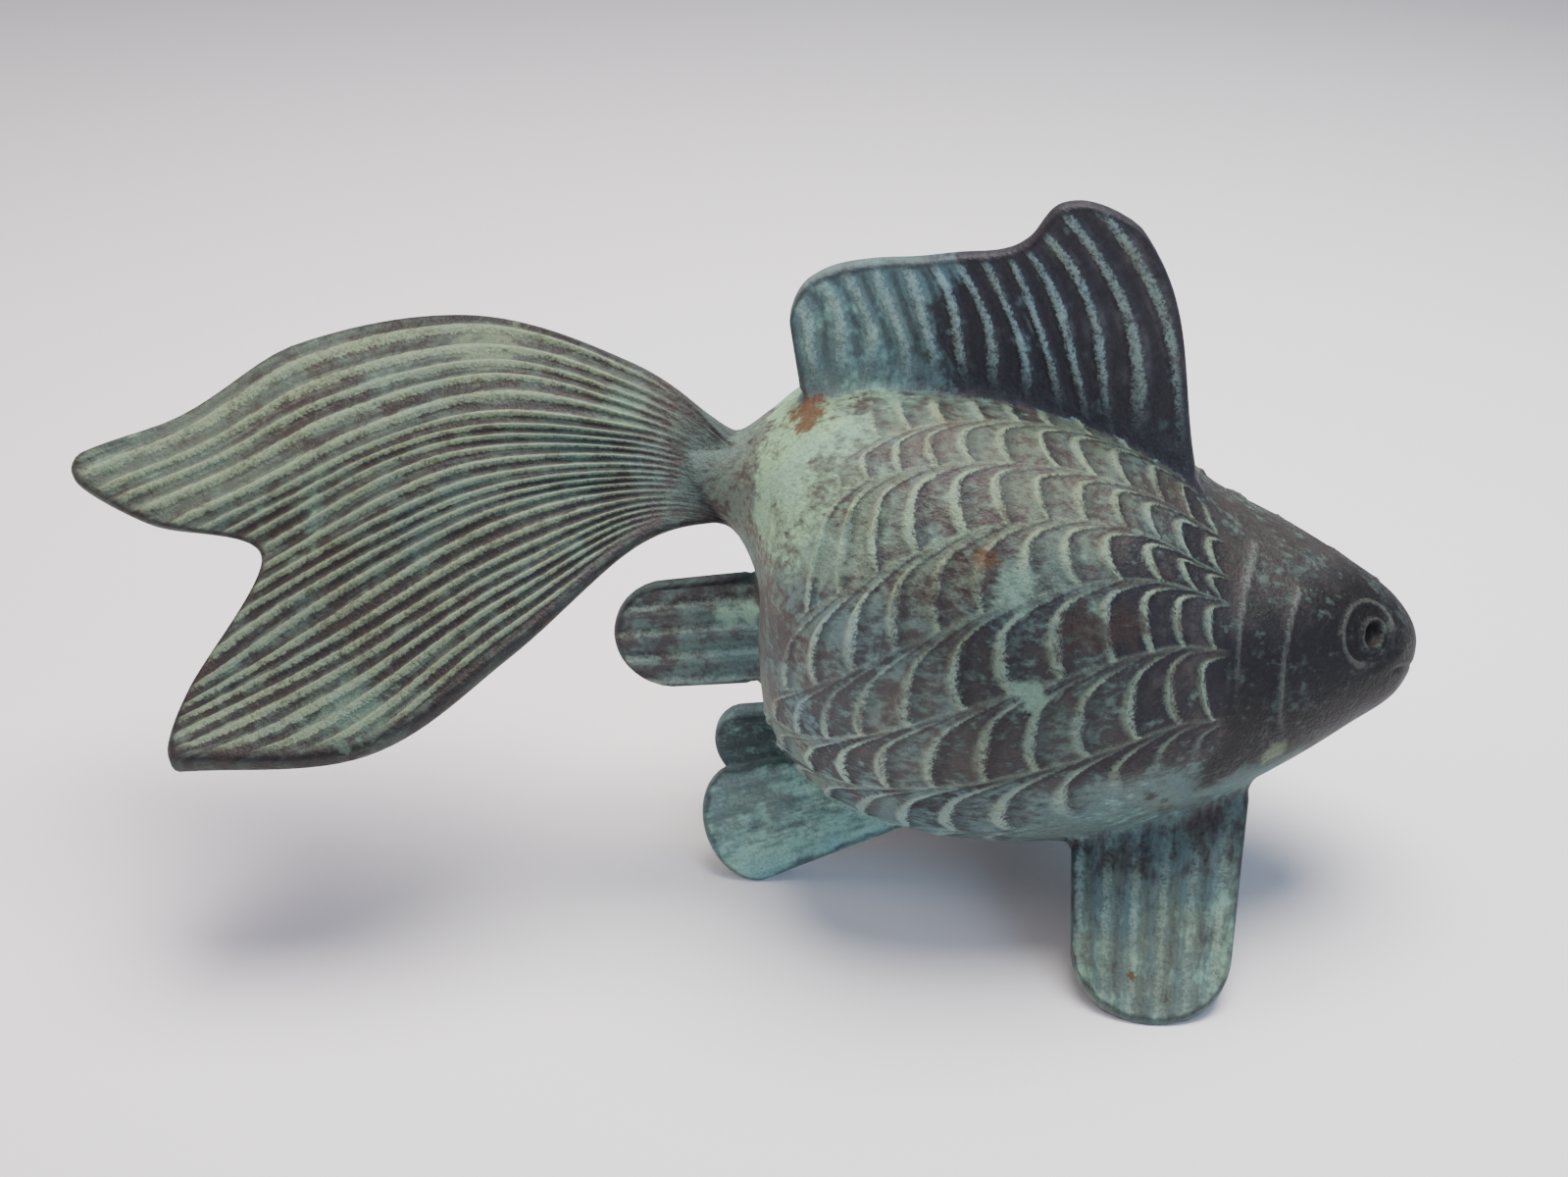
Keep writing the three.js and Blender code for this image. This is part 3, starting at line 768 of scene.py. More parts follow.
@dataclass(frozen=True)
class Fin:
    """A fin as a plate whose faces stand off a middle surface, with a rounded rim.

    Attributes:
        part: Which fin it is.
        ribs: The carving of its faces.
        rows: Number of faces from foot to end.
        thickness: Of the plain plate in millimetres.
        flare: Extra half thickness at the foot, which fillets the fin into the body.
        flare_end: Place out along the fin where the fillet ends.
        rim: How far in from its edges the plate starts to round off.
        bands: Widths of the plain bands along the first edge, the last edge and the end.
        rib_faces: Number of faces across each rib.
    """

    part: Part
    ribs: RibCarving
    rows: int
    thickness: float
    flare: float
    flare_end: float
    rim: float = 1.7
    bands: tuple[float, float, float] = (1.0, 1.0, 1.0)
    rib_faces: int = 9

    def middle(self, across: Array, out: Array) -> Array:
        """Points of the middle surface; each kind of fin has its own.

        Args:
            across: Places across the fin, -1 to 1.
            out: Places out from the foot, 0 to 1.

        Returns:
            Points in millimetres.
        """
        raise NotImplementedError

    def rib_shift(self, across: Array, out: Array) -> Array:
        """How many ribs the carving has drifted by at a place; none on a plain fin."""
        return np.zeros_like(out)

    def across_places(self) -> Array:
        """Places across the fin, evenly spaced on the ribs and close together at both rims.

        Returns:
            Places from -1 to 1.
        """
        ribs = np.arange(self.ribs.count * self.rib_faces) / self.rib_faces / self.ribs.count
        edge = np.array([0.0, 0.028, 0.112, 0.28]) / self.ribs.count
        inner = ribs[(ribs > edge[-1] * 1.4) & (ribs < 1 - edge[-1] * 1.4)]
        return 2 * np.concatenate([edge, inner, 1 - edge[::-1]]) - 1

    def out_places(self) -> Array:
        """Places out along the fin, close together at the end's rim."""
        edge = np.array([0.03, 0.016, 0.006, 0.0012, 0.0])
        return np.concatenate([np.linspace(0, 0.95, self.rows), 1 - edge])

    def frame(self, across: Array, out: Array) -> tuple[Array, Array, Array]:
        """Normals and scale of the middle surface, from central differences.

        Args:
            across: Places across the fin.
            out: Places out from the foot.

        Returns:
            Unit normals, and millimetres for each unit across and out.
        """
        step = 0.004
        u = np.clip(across, -1 + step, 1 - step)
        v = np.clip(out, step, 1 - step)
        wide = self.middle(u + step, v) - self.middle(u - step, v)
        long = self.middle(u, v + step) - self.middle(u, v - step)
        return (unit(np.cross(wide, long)), np.linalg.norm(wide, axis=-1) / (2 * step),
                np.linalg.norm(long, axis=-1) / (2 * step))

    @staticmethod
    def plate_faces(n: int, m: int) -> tuple[Array, Array]:
        """Faces of two sheets of n by m corners that share the corners of three of their edges.

        Args:
            n: Number of corners across.
            m: Number of corners out.

        Returns:
            The quads of both sheets and of the foot, and the two triangles at the foot's ends.
        """
        index = np.arange(n * m).reshape(n, m)
        behind = index + n * m
        behind[0] = index[0]
        behind[-1] = index[-1]
        behind[:, -1] = index[:, -1]
        front = np.stack([index[:-1, :-1], index[1:, :-1], index[1:, 1:], index[:-1, 1:]], -1)
        back = np.stack([behind[:-1, :-1], behind[:-1, 1:], behind[1:, 1:], behind[1:, :-1]], -1)
        foot = np.stack([index[:-1, 0], behind[:-1, 0], behind[1:, 0], index[1:, 0]], -1)
        ends = np.array([[index[0, 0], behind[1, 0], index[1, 0]],
                         [index[-2, 0], behind[-2, 0], index[-1, 0]]])
        return np.vstack([front.reshape(-1, 4), back.reshape(-1, 4), foot[1:-1]]), ends

    def shell(self) -> Shell:
        """Both faces of the plate, closed at the rim and across the foot.

        Half the thickness is that of the plate, plus the fillet's parabola at the foot, plus the
        ribs, times a superellipse of the distance to the nearest edges.

        Returns:
            The shell.
        """
        across, out = np.meshgrid(self.across_places(), self.out_places(), indexing="ij")
        normal, width, length = self.frame(across, out)
        side = np.clip((1 - np.abs(across)) * width / self.rim, 0, 1)
        end = np.clip((1 - out) * length / self.rim, 0, 1)
        round_off = (1 - (1 - side) ** 3) ** (1 / 3) * (1 - (1 - end) ** 3) ** (1 / 3)
        rib = (across + 1) / 2 * self.ribs.count + self.rib_shift(across, out)
        gaps = np.stack([(1 + across) * width, (1 - across) * width, (1 - out) * length])
        inward = np.prod([smooth(0.5 * band, band + 1.0, gap) for gap, band in zip(gaps, self.bands)],
                         axis=0)
        strength = smooth(0.3 * self.ribs.start, self.ribs.start, out) * inward
        fillet = self.flare * np.maximum(0, 1 - out / self.flare_end) ** 2
        half = (0.5 * self.thickness + fillet + strength * self.ribs.relief(rib, out)) * round_off
        middle = self.middle(across, out)
        stand_off = half[..., None] * normal
        points = np.vstack([(middle + stand_off).reshape(-1, 3), (middle - stand_off).reshape(-1, 3)])
        marks = np.stack([np.zeros(across.size), strength.ravel()], axis=-1)
        pattern = np.stack([rib.ravel(), out.ravel()], axis=-1)
        quads, ends = self.plate_faces(*across.shape)
        used, compact = np.unique(quads, return_inverse=True)
        lookup = np.full(len(points), -1)
        lookup[used] = np.arange(len(used))
        return Shell(points=points[used], quads=compact.reshape(-1, 4), triangles=lookup[ends],
                     pattern=np.vstack([pattern, pattern])[used],
                     strength=np.vstack([marks, marks])[used],
                     rim=np.tile(gaps.min(axis=0).ravel(), 2)[used], part=self.part).facing_out()


@dataclass(frozen=True)
class DorsalFin(Fin):
    """The fin on the back: rays from a foot line to a top line, the front ones bowed forward.

    Attributes:
        foot: Foot line's x and z, from rear to front.
        top: Top line's x and z.
        bow: How far the front edge bows forward in millimetres.
        bow_rise: Power that lifts the bow's fullest point.
        rib_bend: How far the ribs bow forward at mid height, in ribs.
        rear_corner: How far the rear top corner is drawn in, as a share of the fin's height.
        front_corner: The same for the front one.
        rear_end: Share of the half length over which the rear corner is round.
        front_end: The same at the front.
    """

    foot: tuple[tuple[float, float], ...] = (
        (3.5, 101), (12.5, 102), (22, 102.5), (31.5, 101.5), (41.5, 99.5),
        (51, 96), (61, 91.5), (70, 87), (81.8, 81))
    top: tuple[tuple[float, float], ...] = (
        (0.3, 122.8), (8.0, 128.1), (15.9, 130.1), (24.8, 130.8), (32.2, 131.8),
        (40.0, 132.6), (45.0, 135.2), (50.2, 141.6), (60.5, 142.2))
    bow: float = 5.6
    bow_rise: float = 2.0
    rib_bend: float = 0.42
    rear_corner: float = 0.27
    front_corner: float = 0.1
    rear_end: float = 0.15
    front_end: float = 0.16

    def middle(self, across: Array, out: Array) -> Array:
        """Points on rays from foot to top, moved ahead by bow * u^4 * 4 w (1 - w), w = v^rise.

        Args:
            across: Places from the rear edge, -1, to the front edge, 1.
            out: Places up from the foot.

        Returns:
            Points in the plane of symmetry.
        """
        share = (across + 1) / 2
        ends = np.array([self.rear_end, self.front_end])
        past = (np.abs(across)[..., None] - 1 + ends) / ends
        past = np.clip(np.where(across < 0, past[..., 0], past[..., 1]), 0, 1)
        drawn = np.where(across < 0, self.rear_corner, self.front_corner)
        out = out * (1 - drawn * (1 - np.sqrt(1 - past**2)))
        place = share * (len(self.foot) - 1)
        fx, fz = np.moveaxis(open_curve(np.array(self.foot, float), place), -1, 0)
        tx, tz = np.moveaxis(open_curve(np.array(self.top, float), place), -1, 0)
        rise = np.maximum(out, 0) ** self.bow_rise
        ahead = self.bow * share**4 * 4 * rise * (1 - rise)
        return np.stack([fx + (tx - fx) * out + ahead, np.zeros_like(fx), fz + (tz - fz) * out], -1)

    def rib_shift(self, across: Array, out: Array) -> Array:
        """Ribs bowed forward at mid height, with a slow wave: -bend * 4 v (1 - v) + wave."""
        wave = 0.1 * np.sin(7.0 * out + 9.0 * across) * smooth(1.0, 0.8, out)
        return wave - self.rib_bend * 4 * out * (1 - out)


@dataclass(frozen=True)
class TailFin(Fin):
    """The tail: a twisted sheet through five rays, notched at its end.

    Attributes:
        rays: Five rays from the top edge to the lower edge, each from the stalk out.
        top_corner: How far the top lobe's corner is drawn in, as a share of the rays' length.
        lower_corner: The same for the lower lobe.
        corner_power: How close to the edge the drawing in starts.
        drift: How far the ribs run off the lower edge, as a share of their number.
        dip: How far the top lobe's outer edge dips, in millimetres.
        dip_start: Place out along the fin where the dip starts.
        dip_power: How close to the top edge it stays.
    """

    rays: tuple[tuple[tuple[float, float, float], ...], ...] = (
        ((-9, 0.5, 93), (-30.5, 14, 101), (-66, 29, 103.2), (-104.5, 24, 96.8), (-147.5, 0.4, 80.2)),
        ((-10, 0, 89.5), (-31, 5, 94.5), (-58.5, 8, 97), (-89, 4, 88.5), (-126.5, -6.5, 73)),
        ((-11, -0.5, 85.5), (-30.5, -2, 88.5), (-56.5, -6, 88), (-75.5, -10, 83), (-101.5, -12.5, 69.5)),
        ((-11, -1, 81.5), (-30, -8, 82.5), (-51.5, -18, 77.5), (-79, -26, 65), (-112.2, -34, 50.6)),
        ((-11, -1.5, 76), (-27.5, -14, 75.8), (-49.5, -34, 62.3), (-75.5, -48, 48.2), (-113.4, -50, 44.8)))
    top_corner: float = 0.03
    lower_corner: float = 0.012
    corner_power: float = 16.0
    drift: float = 0.28
    dip: float = 4.2
    dip_start: float = 0.74
    dip_power: float = 4.0

    def middle(self, across: Array, out: Array) -> Array:
        """Points of the sheet: a curve through the five rays, each a curve through its points.

        Args:
            across: Places from the top edge, -1, to the lower edge, 1.
            out: Places out from the stalk.

        Returns:
            Points in millimetres.
        """
        rays = np.array(self.rays, float)
        corner = np.where(across < 0, self.top_corner, self.lower_corner)
        drawn = out * (1 - corner * np.abs(across) ** self.corner_power)
        stack = np.stack([open_curve(ray, drawn * (rays.shape[1] - 1)) for ray in rays], axis=0)
        padded = np.concatenate([2 * stack[:1] - stack[1:2], stack, 2 * stack[-1:] - stack[-2:-1]])
        share = (across + 1) / 2
        place = share * (len(rays) - 1)
        start = np.clip(np.floor(place).astype(int), 0, len(rays) - 2)
        i, j = np.indices(place.shape)
        sheet = cubic(*(padded[start + k, i, j] for k in range(4)), (place - start)[..., None])
        past = np.clip((out - self.dip_start) / (1 - self.dip_start), 0, 1)
        sheet[..., 2] -= self.dip * (1 - share) ** self.dip_power * np.sin(math.pi * past) ** 2
        return sheet

    def rib_shift(self, across: Array, out: Array) -> Array:
        """Ribs near the lower edge run off it: count * drift * u^3 * 4 v (1 - v) + unevenness."""
        share = (across + 1) / 2
        uneven = 0.22 * np.sin(11.0 * share + 1.0) + 0.16 * np.sin(29.0 * share + 2.0 * out)
        run_off = self.ribs.count * self.drift * share**3 * 4 * out * (1 - out)
        return run_off + uneven * smooth(0, 0.4, out)


@dataclass(frozen=True, kw_only=True)
class PaddleFin(Fin):
    """A short fin with straight sides and a rounded tip.

    Attributes:
        foot: A point inside the body, on the right side.
        along: The way the fin runs.
        across_way: The way across it.
        length: Of the fin from its foot, in millimetres.
        half_foot: Half its width at the foot.
        half_tip: Half its width at the tip.
        round: How far the tip's corners are drawn back.
        side: 1 for the fish's right side or the middle, -1 for its left.
    """

    foot: tuple[float, float, float]
    along: tuple[float, float, float]
    across_way: tuple[float, float, float]
    length: float
    half_foot: float
    half_tip: float
    round: float
    side: int = 1

    def middle(self, across: Array, out: Array) -> Array:
        """Points of a flat plate whose length falls by round * (1 - sqrt(1 - u^2)) to its sides.

        Args:
            across: Places across, -1 to 1.
            out: Places out from the foot.

        Returns:
            Points in millimetres.
        """
        mirror = np.array([1, self.side, 1])
        foot = np.array(self.foot) * mirror
        along = unit(np.array(self.along, float) * mirror)
        sideways = np.array(self.across_way, float) * mirror
        sideways = unit(sideways - (sideways @ along) * along)
        length = self.length - self.round * (1 - np.sqrt(np.maximum(0, 1 - across**2)))
        half = self.half_foot + (self.half_tip - self.half_foot) * out
        return foot + (out * length)[..., None] * along + (across * half)[..., None] * sideways


def goldfish_fins() -> tuple[Fin, ...]:
    """The seven fins; the paired ones lie mirrored on the two sides.

    Returns:
        The fins.
    """
    single = (
        DorsalFin(part=Part.DORSAL, ribs=RibCarving(13, 0.9, sharpness=3.5, start=0.5, extra=0.25),
                  rows=30, thickness=4.2, flare=3.4, flare_end=0.35, bands=(1.2, 2.2, 1.6)),
        TailFin(part=Part.TAIL, ribs=RibCarving(19, 1.0, start=0.34), rows=50, thickness=4.8,
                flare=1.2, flare_end=0.3, rim=1.4, bands=(1.5, 3.2, 2.2)),
        PaddleFin(part=Part.ANAL, ribs=RibCarving(4, 0.8), rows=20, thickness=4.4, flare=2,
                  flare_end=0.35, foot=(2, 0, 51.2), along=(-1, 0, -0.13), across_way=(0, 0, 1),
                  length=37, half_foot=12.6, half_tip=11.6, round=11))
    pectoral = PaddleFin(
        part=Part.PECTORAL, ribs=RibCarving(6, 0.9, crest=0.82, sharpness=4.0, start=0.6), rows=28,
        thickness=4.4, flare=3, flare_end=0.5, foot=(76.5, -13.8, 33), along=(-2.5, -32, -25),
        across_way=(1, 0, 0), length=55, half_foot=18, half_tip=15.2, round=14)
    pelvic = PaddleFin(
        part=Part.PELVIC, ribs=RibCarving(5, 0.4, start=0.5), rows=24, thickness=4.4, flare=2.5,
        flare_end=0.5, foot=(32.4, -8.6, 23.1), along=(-30, -4, -9), across_way=(3, -5, -18),
        length=50, half_foot=8.5, half_tip=12.6, round=9)
    return single + (pectoral, pelvic, replace(pectoral, side=-1), replace(pelvic, side=-1))


@dataclass(frozen=True)
class Casting:
    """The whole figurine in one piece: body and fins fused, and the seams between them smoothed.

    Attributes:
        body: The carved body.
        fins: The seven fins.
        seam_reach: How far from a seam between two forms the metal is smoothed, in metres.
        seam_rounds: How many times it is smoothed.
        pull: How far each round moves a corner on a seam towards its neighbours' mean.
        reach_rounds: How many edges away from a seam its distance is followed.
    """

    body: Body = Body()
    fins: tuple[Fin, ...] = field(default_factory=goldfish_fins)
    seam_reach: float = 0.0032
    seam_rounds: int = 14
    pull: float = 0.6
    reach_rounds: int = 14

    def fuse(self) -> bpy.types.Object:
        """Join the body and the fins into one closed mesh.

        Returns:
            The object, with each face marked by its form.
        """
        body = mesh_of("goldfish_casting", [self.body.shell()])
        fins = mesh_of("fins", [fin.shell() for fin in self.fins])
        LOG.info("body %d faces, fins %d faces", len(body.data.polygons), len(fins.data.polygons))
        union = body.modifiers.new("fuse", "BOOLEAN")
        union.operation = "UNION"
        union.object = fins
        union.solver = "MANIFOLD"
        self.apply(body)
        bpy.data.objects.remove(fins)
        return body

    @staticmethod
    def apply(obj: bpy.types.Object) -> None:
        """Turn an object's modifiers into its mesh.

        Args:
            obj: The object.
        """
        graph = bpy.context.evaluated_depsgraph_get()
        mesh = bpy.data.meshes.new_from_object(obj.evaluated_get(graph), depsgraph=graph)
        obj.modifiers.clear()
        old = obj.data
        obj.data = mesh
        bpy.data.meshes.remove(old)

    @staticmethod
    def form_range(mesh: bpy.types.Mesh) -> tuple[Array, Array]:
        """The lowest and the highest form number among the faces round each corner.

        Args:
            mesh: The fused mesh.

        Returns:
            Both numbers for each corner.
        """
        vertex = read(mesh.loops, "vertex_index", np.int32)
        mark = np.repeat(read(mesh.polygons, "material_index", np.int32),
                         read(mesh.polygons, "loop_total", np.int32))
        low = np.full(len(mesh.vertices), len(Part))
        high = np.full(len(mesh.vertices), -1)
        np.minimum.at(low, vertex, mark)
        np.maximum.at(high, vertex, mark)
        return low, high

    def seam_share(self, mesh: bpy.types.Mesh, places: Array, edges: Array) -> Array:
        """How much each corner is smoothed: 1 at a seam, nothing at seam_reach along the edges.

        Args:
            mesh: The fused mesh.
            places: Its corners' places.
            edges: The two corners of each edge.

        Returns:
            Shares from 0 to 1.
        """
        low, high = self.form_range(mesh)
        reach = np.where(low != high, 0.0, np.inf)
        span = np.linalg.norm(places[edges[:, 0]] - places[edges[:, 1]], axis=1)
        for _ in range(self.reach_rounds):
            for a, b in ((0, 1), (1, 0)):
                np.minimum.at(reach, edges[:, a], reach[edges[:, b]] + span)
        return smooth(self.seam_reach, 0.2 * self.seam_reach, np.minimum(reach, 1.0))

    def smooth_seams(self, obj: bpy.types.Object) -> None:
        """Fillet the seams between forms by averaging corners with their neighbours near them.

        Over and over, a corner moves towards the mean of its neighbours by its share, and none
        goes below the floor.

        Args:
            obj: The fused casting.
        """
        mesh = obj.data
        places = read(mesh.vertices, "co", np.float32, 3).astype(float)
        edges = read(mesh.edges, "vertices", np.int32, 2)
        share = self.seam_share(mesh, places, edges)
        degree = np.maximum(np.bincount(edges.ravel(), minlength=len(places)), 1)
        for _ in range(self.seam_rounds):
            total = np.zeros_like(places)
            np.add.at(total, edges[:, 0], places[edges[:, 1]])
            np.add.at(total, edges[:, 1], places[edges[:, 0]])
            places += self.pull * share[:, None] * (total / degree[:, None] - places)
        places[:, 2] = np.maximum(places[:, 2], 0.0)
        mesh.vertices.foreach_set("co", places.astype(np.float32).ravel())
        mesh.update()
        LOG.info("seams: %d corners smoothed", int((share > 0).sum()))

    def build(self) -> bpy.types.Object:
        """Fuse the forms and smooth the seams.

        Returns:
            The casting, shaded smooth, whose faces are still marked by their forms.
        """
        obj = self.fuse()
        self.smooth_seams(obj)
        obj.data.polygons.foreach_set("use_smooth", np.ones(len(obj.data.polygons), bool))
        return obj


@dataclass(frozen=True)
class Value:
    """A number or colour in a material's nodes, which sums and products can be written with.

    Attributes:
        nodes: The maker of the material's nodes.
        socket: The output that carries it.
    """

    nodes: "NodeMaker"
    socket: bpy.types.NodeSocket

    def math(self, operation: str, *values: Any) -> "Value":
        """A Math node on this value and others.

        Args:
            operation: The node's operation.
            values: Its other inputs.

        Returns:
            The result.
        """
        made = self.nodes.node("ShaderNodeMath", {"operation": operation},
                               dict(enumerate((self, *values))))
        return Value(self.nodes, made.outputs[0])

    def after(self, operation: str, value: Any) -> "Value":
        """A Math node with this value as its second input."""
        made = self.nodes.node("ShaderNodeMath", {"operation": operation}, {0: value, 1: self})
        return Value(self.nodes, made.outputs[0])

    def __add__(self, other: Any) -> "Value":
        """This plus other."""
        return self.math("ADD", other)

    __radd__ = __add__

    def __sub__(self, other: Any) -> "Value":
        """This less other."""
        return self.math("SUBTRACT", other)

    def __rsub__(self, other: Any) -> "Value":
        """Other less this."""
        return self.after("SUBTRACT", other)

    def __mul__(self, other: Any) -> "Value":
        """This times other."""
        return self.math("MULTIPLY", other)

    __rmul__ = __mul__

    def __truediv__(self, other: Any) -> "Value":
        """This over other."""
        return self.math("DIVIDE", other)

    def __rtruediv__(self, other: Any) -> "Value":
        """Other over this."""
        return self.after("DIVIDE", other)

    def __pow__(self, other: Any) -> "Value":
        """This to a power."""
        return self.math("POWER", other)

    def __abs__(self) -> "Value":
        """Its size without its sign."""
        return self.math("ABSOLUTE")

    def least(self, other: Any) -> "Value":
        """The smaller of this and other."""
        return self.math("MINIMUM", other)

    def most(self, other: Any) -> "Value":
        """The larger of this and other."""
        return self.math("MAXIMUM", other)

    def step(self, low: float, high: float) -> "Value":
        """Soft step from 0 at low to 1 at high, which may lie below low.

        Args:
            low: Where the step leaves 0.
            high: Where it reaches 1.

        Returns:
            The step.
        """
        made = self.nodes.node("ShaderNodeMapRange", {"interpolation_type": "SMOOTHSTEP"},
                               {"Value": self, "From Min": low, "From Max": high})
        return Value(self.nodes, made.outputs["Result"])

    def bell(self, middle: float, half: float) -> "Value":
        """1 at middle, falling softly to 0 at half a width away."""
        return abs(self - middle).step(half, 0.0)

    def sway(self, size: float) -> "Value":
        """What a value from 0 to 1 adds when it sways about its middle: (value - 0.5) * size."""
        return (self - 0.5) * size


@dataclass(frozen=True)
class NodeMaker:
    """Makes the nodes of one material.

    Attributes:
        tree: The material's node tree.
    """

    tree: bpy.types.NodeTree

    def node(self, kind: str, settings: dict[str, Any], sockets: dict[Any, Any]) -> bpy.types.Node:
        """Make a node, set its settings, then fill or link its sockets.

        Args:
            kind: Type of the node.
            settings: Its settings by name.
            sockets: Values or links by the sockets' names or places.

        Returns:
            The node.
        """
        made = self.tree.nodes.new(kind)
        for name, setting in settings.items():
            setattr(made, name, setting)
        for name, value in sockets.items():
            if isinstance(value, Value):
                self.tree.links.new(value.socket, made.inputs[name])
            elif isinstance(value, tuple) and made.inputs[name].type == "RGBA":
                made.inputs[name].default_value = (*value, 1.0)
            else:
                made.inputs[name].default_value = value
        return made

    def place(self) -> Value:
        """Object coordinates, in metres."""
        return Value(self, self.node("ShaderNodeTexCoord", {}, {}).outputs["Object"])

    def layer(self, name: str) -> tuple[Value, Value]:
        """The two numbers of a UV map.

        Args:
            name: Its name.

        Returns:
            Both numbers.
        """
        made = self.node("ShaderNodeUVMap", {"uv_map": name}, {})
        parts = self.node("ShaderNodeSeparateXYZ", {}, {0: Value(self, made.outputs["UV"])})
        return Value(self, parts.outputs["X"]), Value(self, parts.outputs["Y"])

    def parts(self, vector: Value) -> tuple[Value, Value, Value]:
        """The three numbers of a vector."""
        made = self.node("ShaderNodeSeparateXYZ", {}, {0: vector})
        return tuple(Value(self, made.outputs[k]) for k in range(3))

    def noise(self, vector: Value, scale: float, detail: float, rough: float) -> Value:
        """Cloudy noise from 0 to 1.

        Args:
            vector: Where it is read.
            scale: Clouds for each metre.
            detail: How many finer layers it has.
            rough: How strong they are.

        Returns:
            The noise.
        """
        made = self.node("ShaderNodeTexNoise", {"noise_dimensions": "3D"},
                         {"Vector": vector, "Scale": scale, "Detail": detail, "Roughness": rough})
        return Value(self, made.outputs[0])

    def shifted(self, vector: Value, offset: tuple[float, float, float],
                scale: tuple[float, float, float] = (1, 1, 1)) -> Value:
        """A vector scaled and moved.

        Args:
            vector: The vector.
            offset: How far it moves.
            scale: How much it is stretched along each axis.

        Returns:
            The changed vector.
        """
        made = self.node("ShaderNodeMapping", {}, {"Vector": vector, "Location": offset, "Scale": scale})
        return Value(self, made.outputs[0])

    def join(self, *numbers: Any) -> Value:
        """A vector of three numbers."""
        made = self.node("ShaderNodeCombineXYZ", {}, dict(enumerate(numbers)))
        return Value(self, made.outputs[0])

    def between(self, share: Value, first: Value, second: Value) -> Value:
        """A vector between two."""
        made = self.node("ShaderNodeMix", {"data_type": "VECTOR"}, {0: share, 4: first, 5: second})
        return Value(self, made.outputs[1])

    def attribute(self, name: str) -> tuple[Value, Value]:
        """The colour and the fourth number of a colour attribute.

        Args:
            name: Its name.

        Returns:
            Both of them.
        """
        made = self.node("ShaderNodeAttribute", {"attribute_name": name}, {})
        return Value(self, made.outputs["Color"]), Value(self, made.outputs["Alpha"])

    def mix(self, share: Any, first: Any, second: Any) -> Value:
        """A colour between two.

        Args:
            share: 0 gives the first and 1 the second.
            first: A colour.
            second: A colour.

        Returns:
            The mixed colour.
        """
        made = self.node("ShaderNodeMix", {"data_type": "RGBA", "clamp_factor": True},
                         {0: share, 6: first, 7: second})
        return Value(self, made.outputs[2])

    def times(self, colour: Value, share: Value) -> Value:
        """A colour made lighter or darker by a number.

        Args:
            colour: The colour.
            share: What it is multiplied by.

        Returns:
            The changed colour.
        """
        made = self.node("ShaderNodeVectorMath", {"operation": "SCALE"}, {0: colour, "Scale": share})
        return Value(self, made.outputs[0])


def new_material(name: str) -> tuple[bpy.types.Material, NodeMaker]:
    """An empty material and the maker of its nodes."""
    material = bpy.data.materials.new(name)
    material.use_nodes = True
    material.node_tree.nodes.clear()
    return material, NodeMaker(material.node_tree)


@dataclass(frozen=True)
class Spot:
    """A spot of rust, brown staining or a deposit of the patina, or a patch of painted shade, at one
    place.

    Attributes:
        centre: Its middle in millimetres, in the finished part's frame.
        radius: Its radius in millimetres.
        colour: Its colour.
        strength: How much it covers.
    """

    centre: tuple[float, float, float]
    radius: float
    colour: tuple[float, float, float]
    strength: float = 0.8


@dataclass(frozen=True)
class Tone:
    """How the patina lies on one region of one form.

    Attributes:
        part: The form.
        look: How cool its colours are, how much film covers it and how much mint bloom.
        metal: How light its crests are, how dark the bare metal is and how light it is in all.
        along: Where the region fades in along the fish, from nothing to all, in millimetres.
        height: Where it fades in by height.
    """

    part: Part
    look: tuple[float, float, float]
    metal: tuple[float, float, float]
    along: tuple[float, float] | None = None
    height: tuple[float, float] | None = None


@dataclass(frozen=True)
class Hue:
    """A layer's colour where the patina is warm and where it is cool.

    Attributes:
        warm: Its colour on the warm regions.
        cool: Its colour on the cool ones.
    """

    warm: tuple[float, float, float]
    cool: tuple[float, float, float]

    def at(self, make: NodeMaker, coolness: Value) -> Value:
        """The colour for a coolness from 0 to 1."""
        return make.mix(coolness, self.warm, self.cool)


RUST = (0.1, 0.042, 0.017)
BROWN_STAIN = (0.05, 0.03, 0.022)
MINT_BLOB = (0.22, 0.36, 0.26)
PALE_GREEN = (0.26, 0.34, 0.2)
# Painted shade: the colour that darkens the far pelvic fin, which lies in shadow under the body.
FAR_FIN_SHADE = (0.032, 0.048, 0.062)
FAR_FROM_SPOTS = 9.0     # the nearest spot's distance over its radius, where there is none near


@dataclass(frozen=True)
class Carved:
    """Where the raised and sunk lines of the carving lie, as shares from 0 to 1.

    Attributes:
        roll: The scales' crescents.
        seam: The lines between scale rows.
        cut: Painted shade along the cut lines just ahead of the crescents.
        shade: Painted shade in the hollows ahead of them.
        crest: The ribs' crests, 1, and hollows, 0.
        ribbed: How strongly ribs are carved.
        luck: How one scale's patina differs from the next one's, from -0.5 to 0.5.
        along: The pattern's place along the body, or its ribs across a fin.
        across: Its place across the rows, or out along a fin.
    """

    roll: Value
    seam: Value
    cut: Value
    shade: Value
    crest: Value
    ribbed: Value
    luck: Value
    along: Value
    across: Value


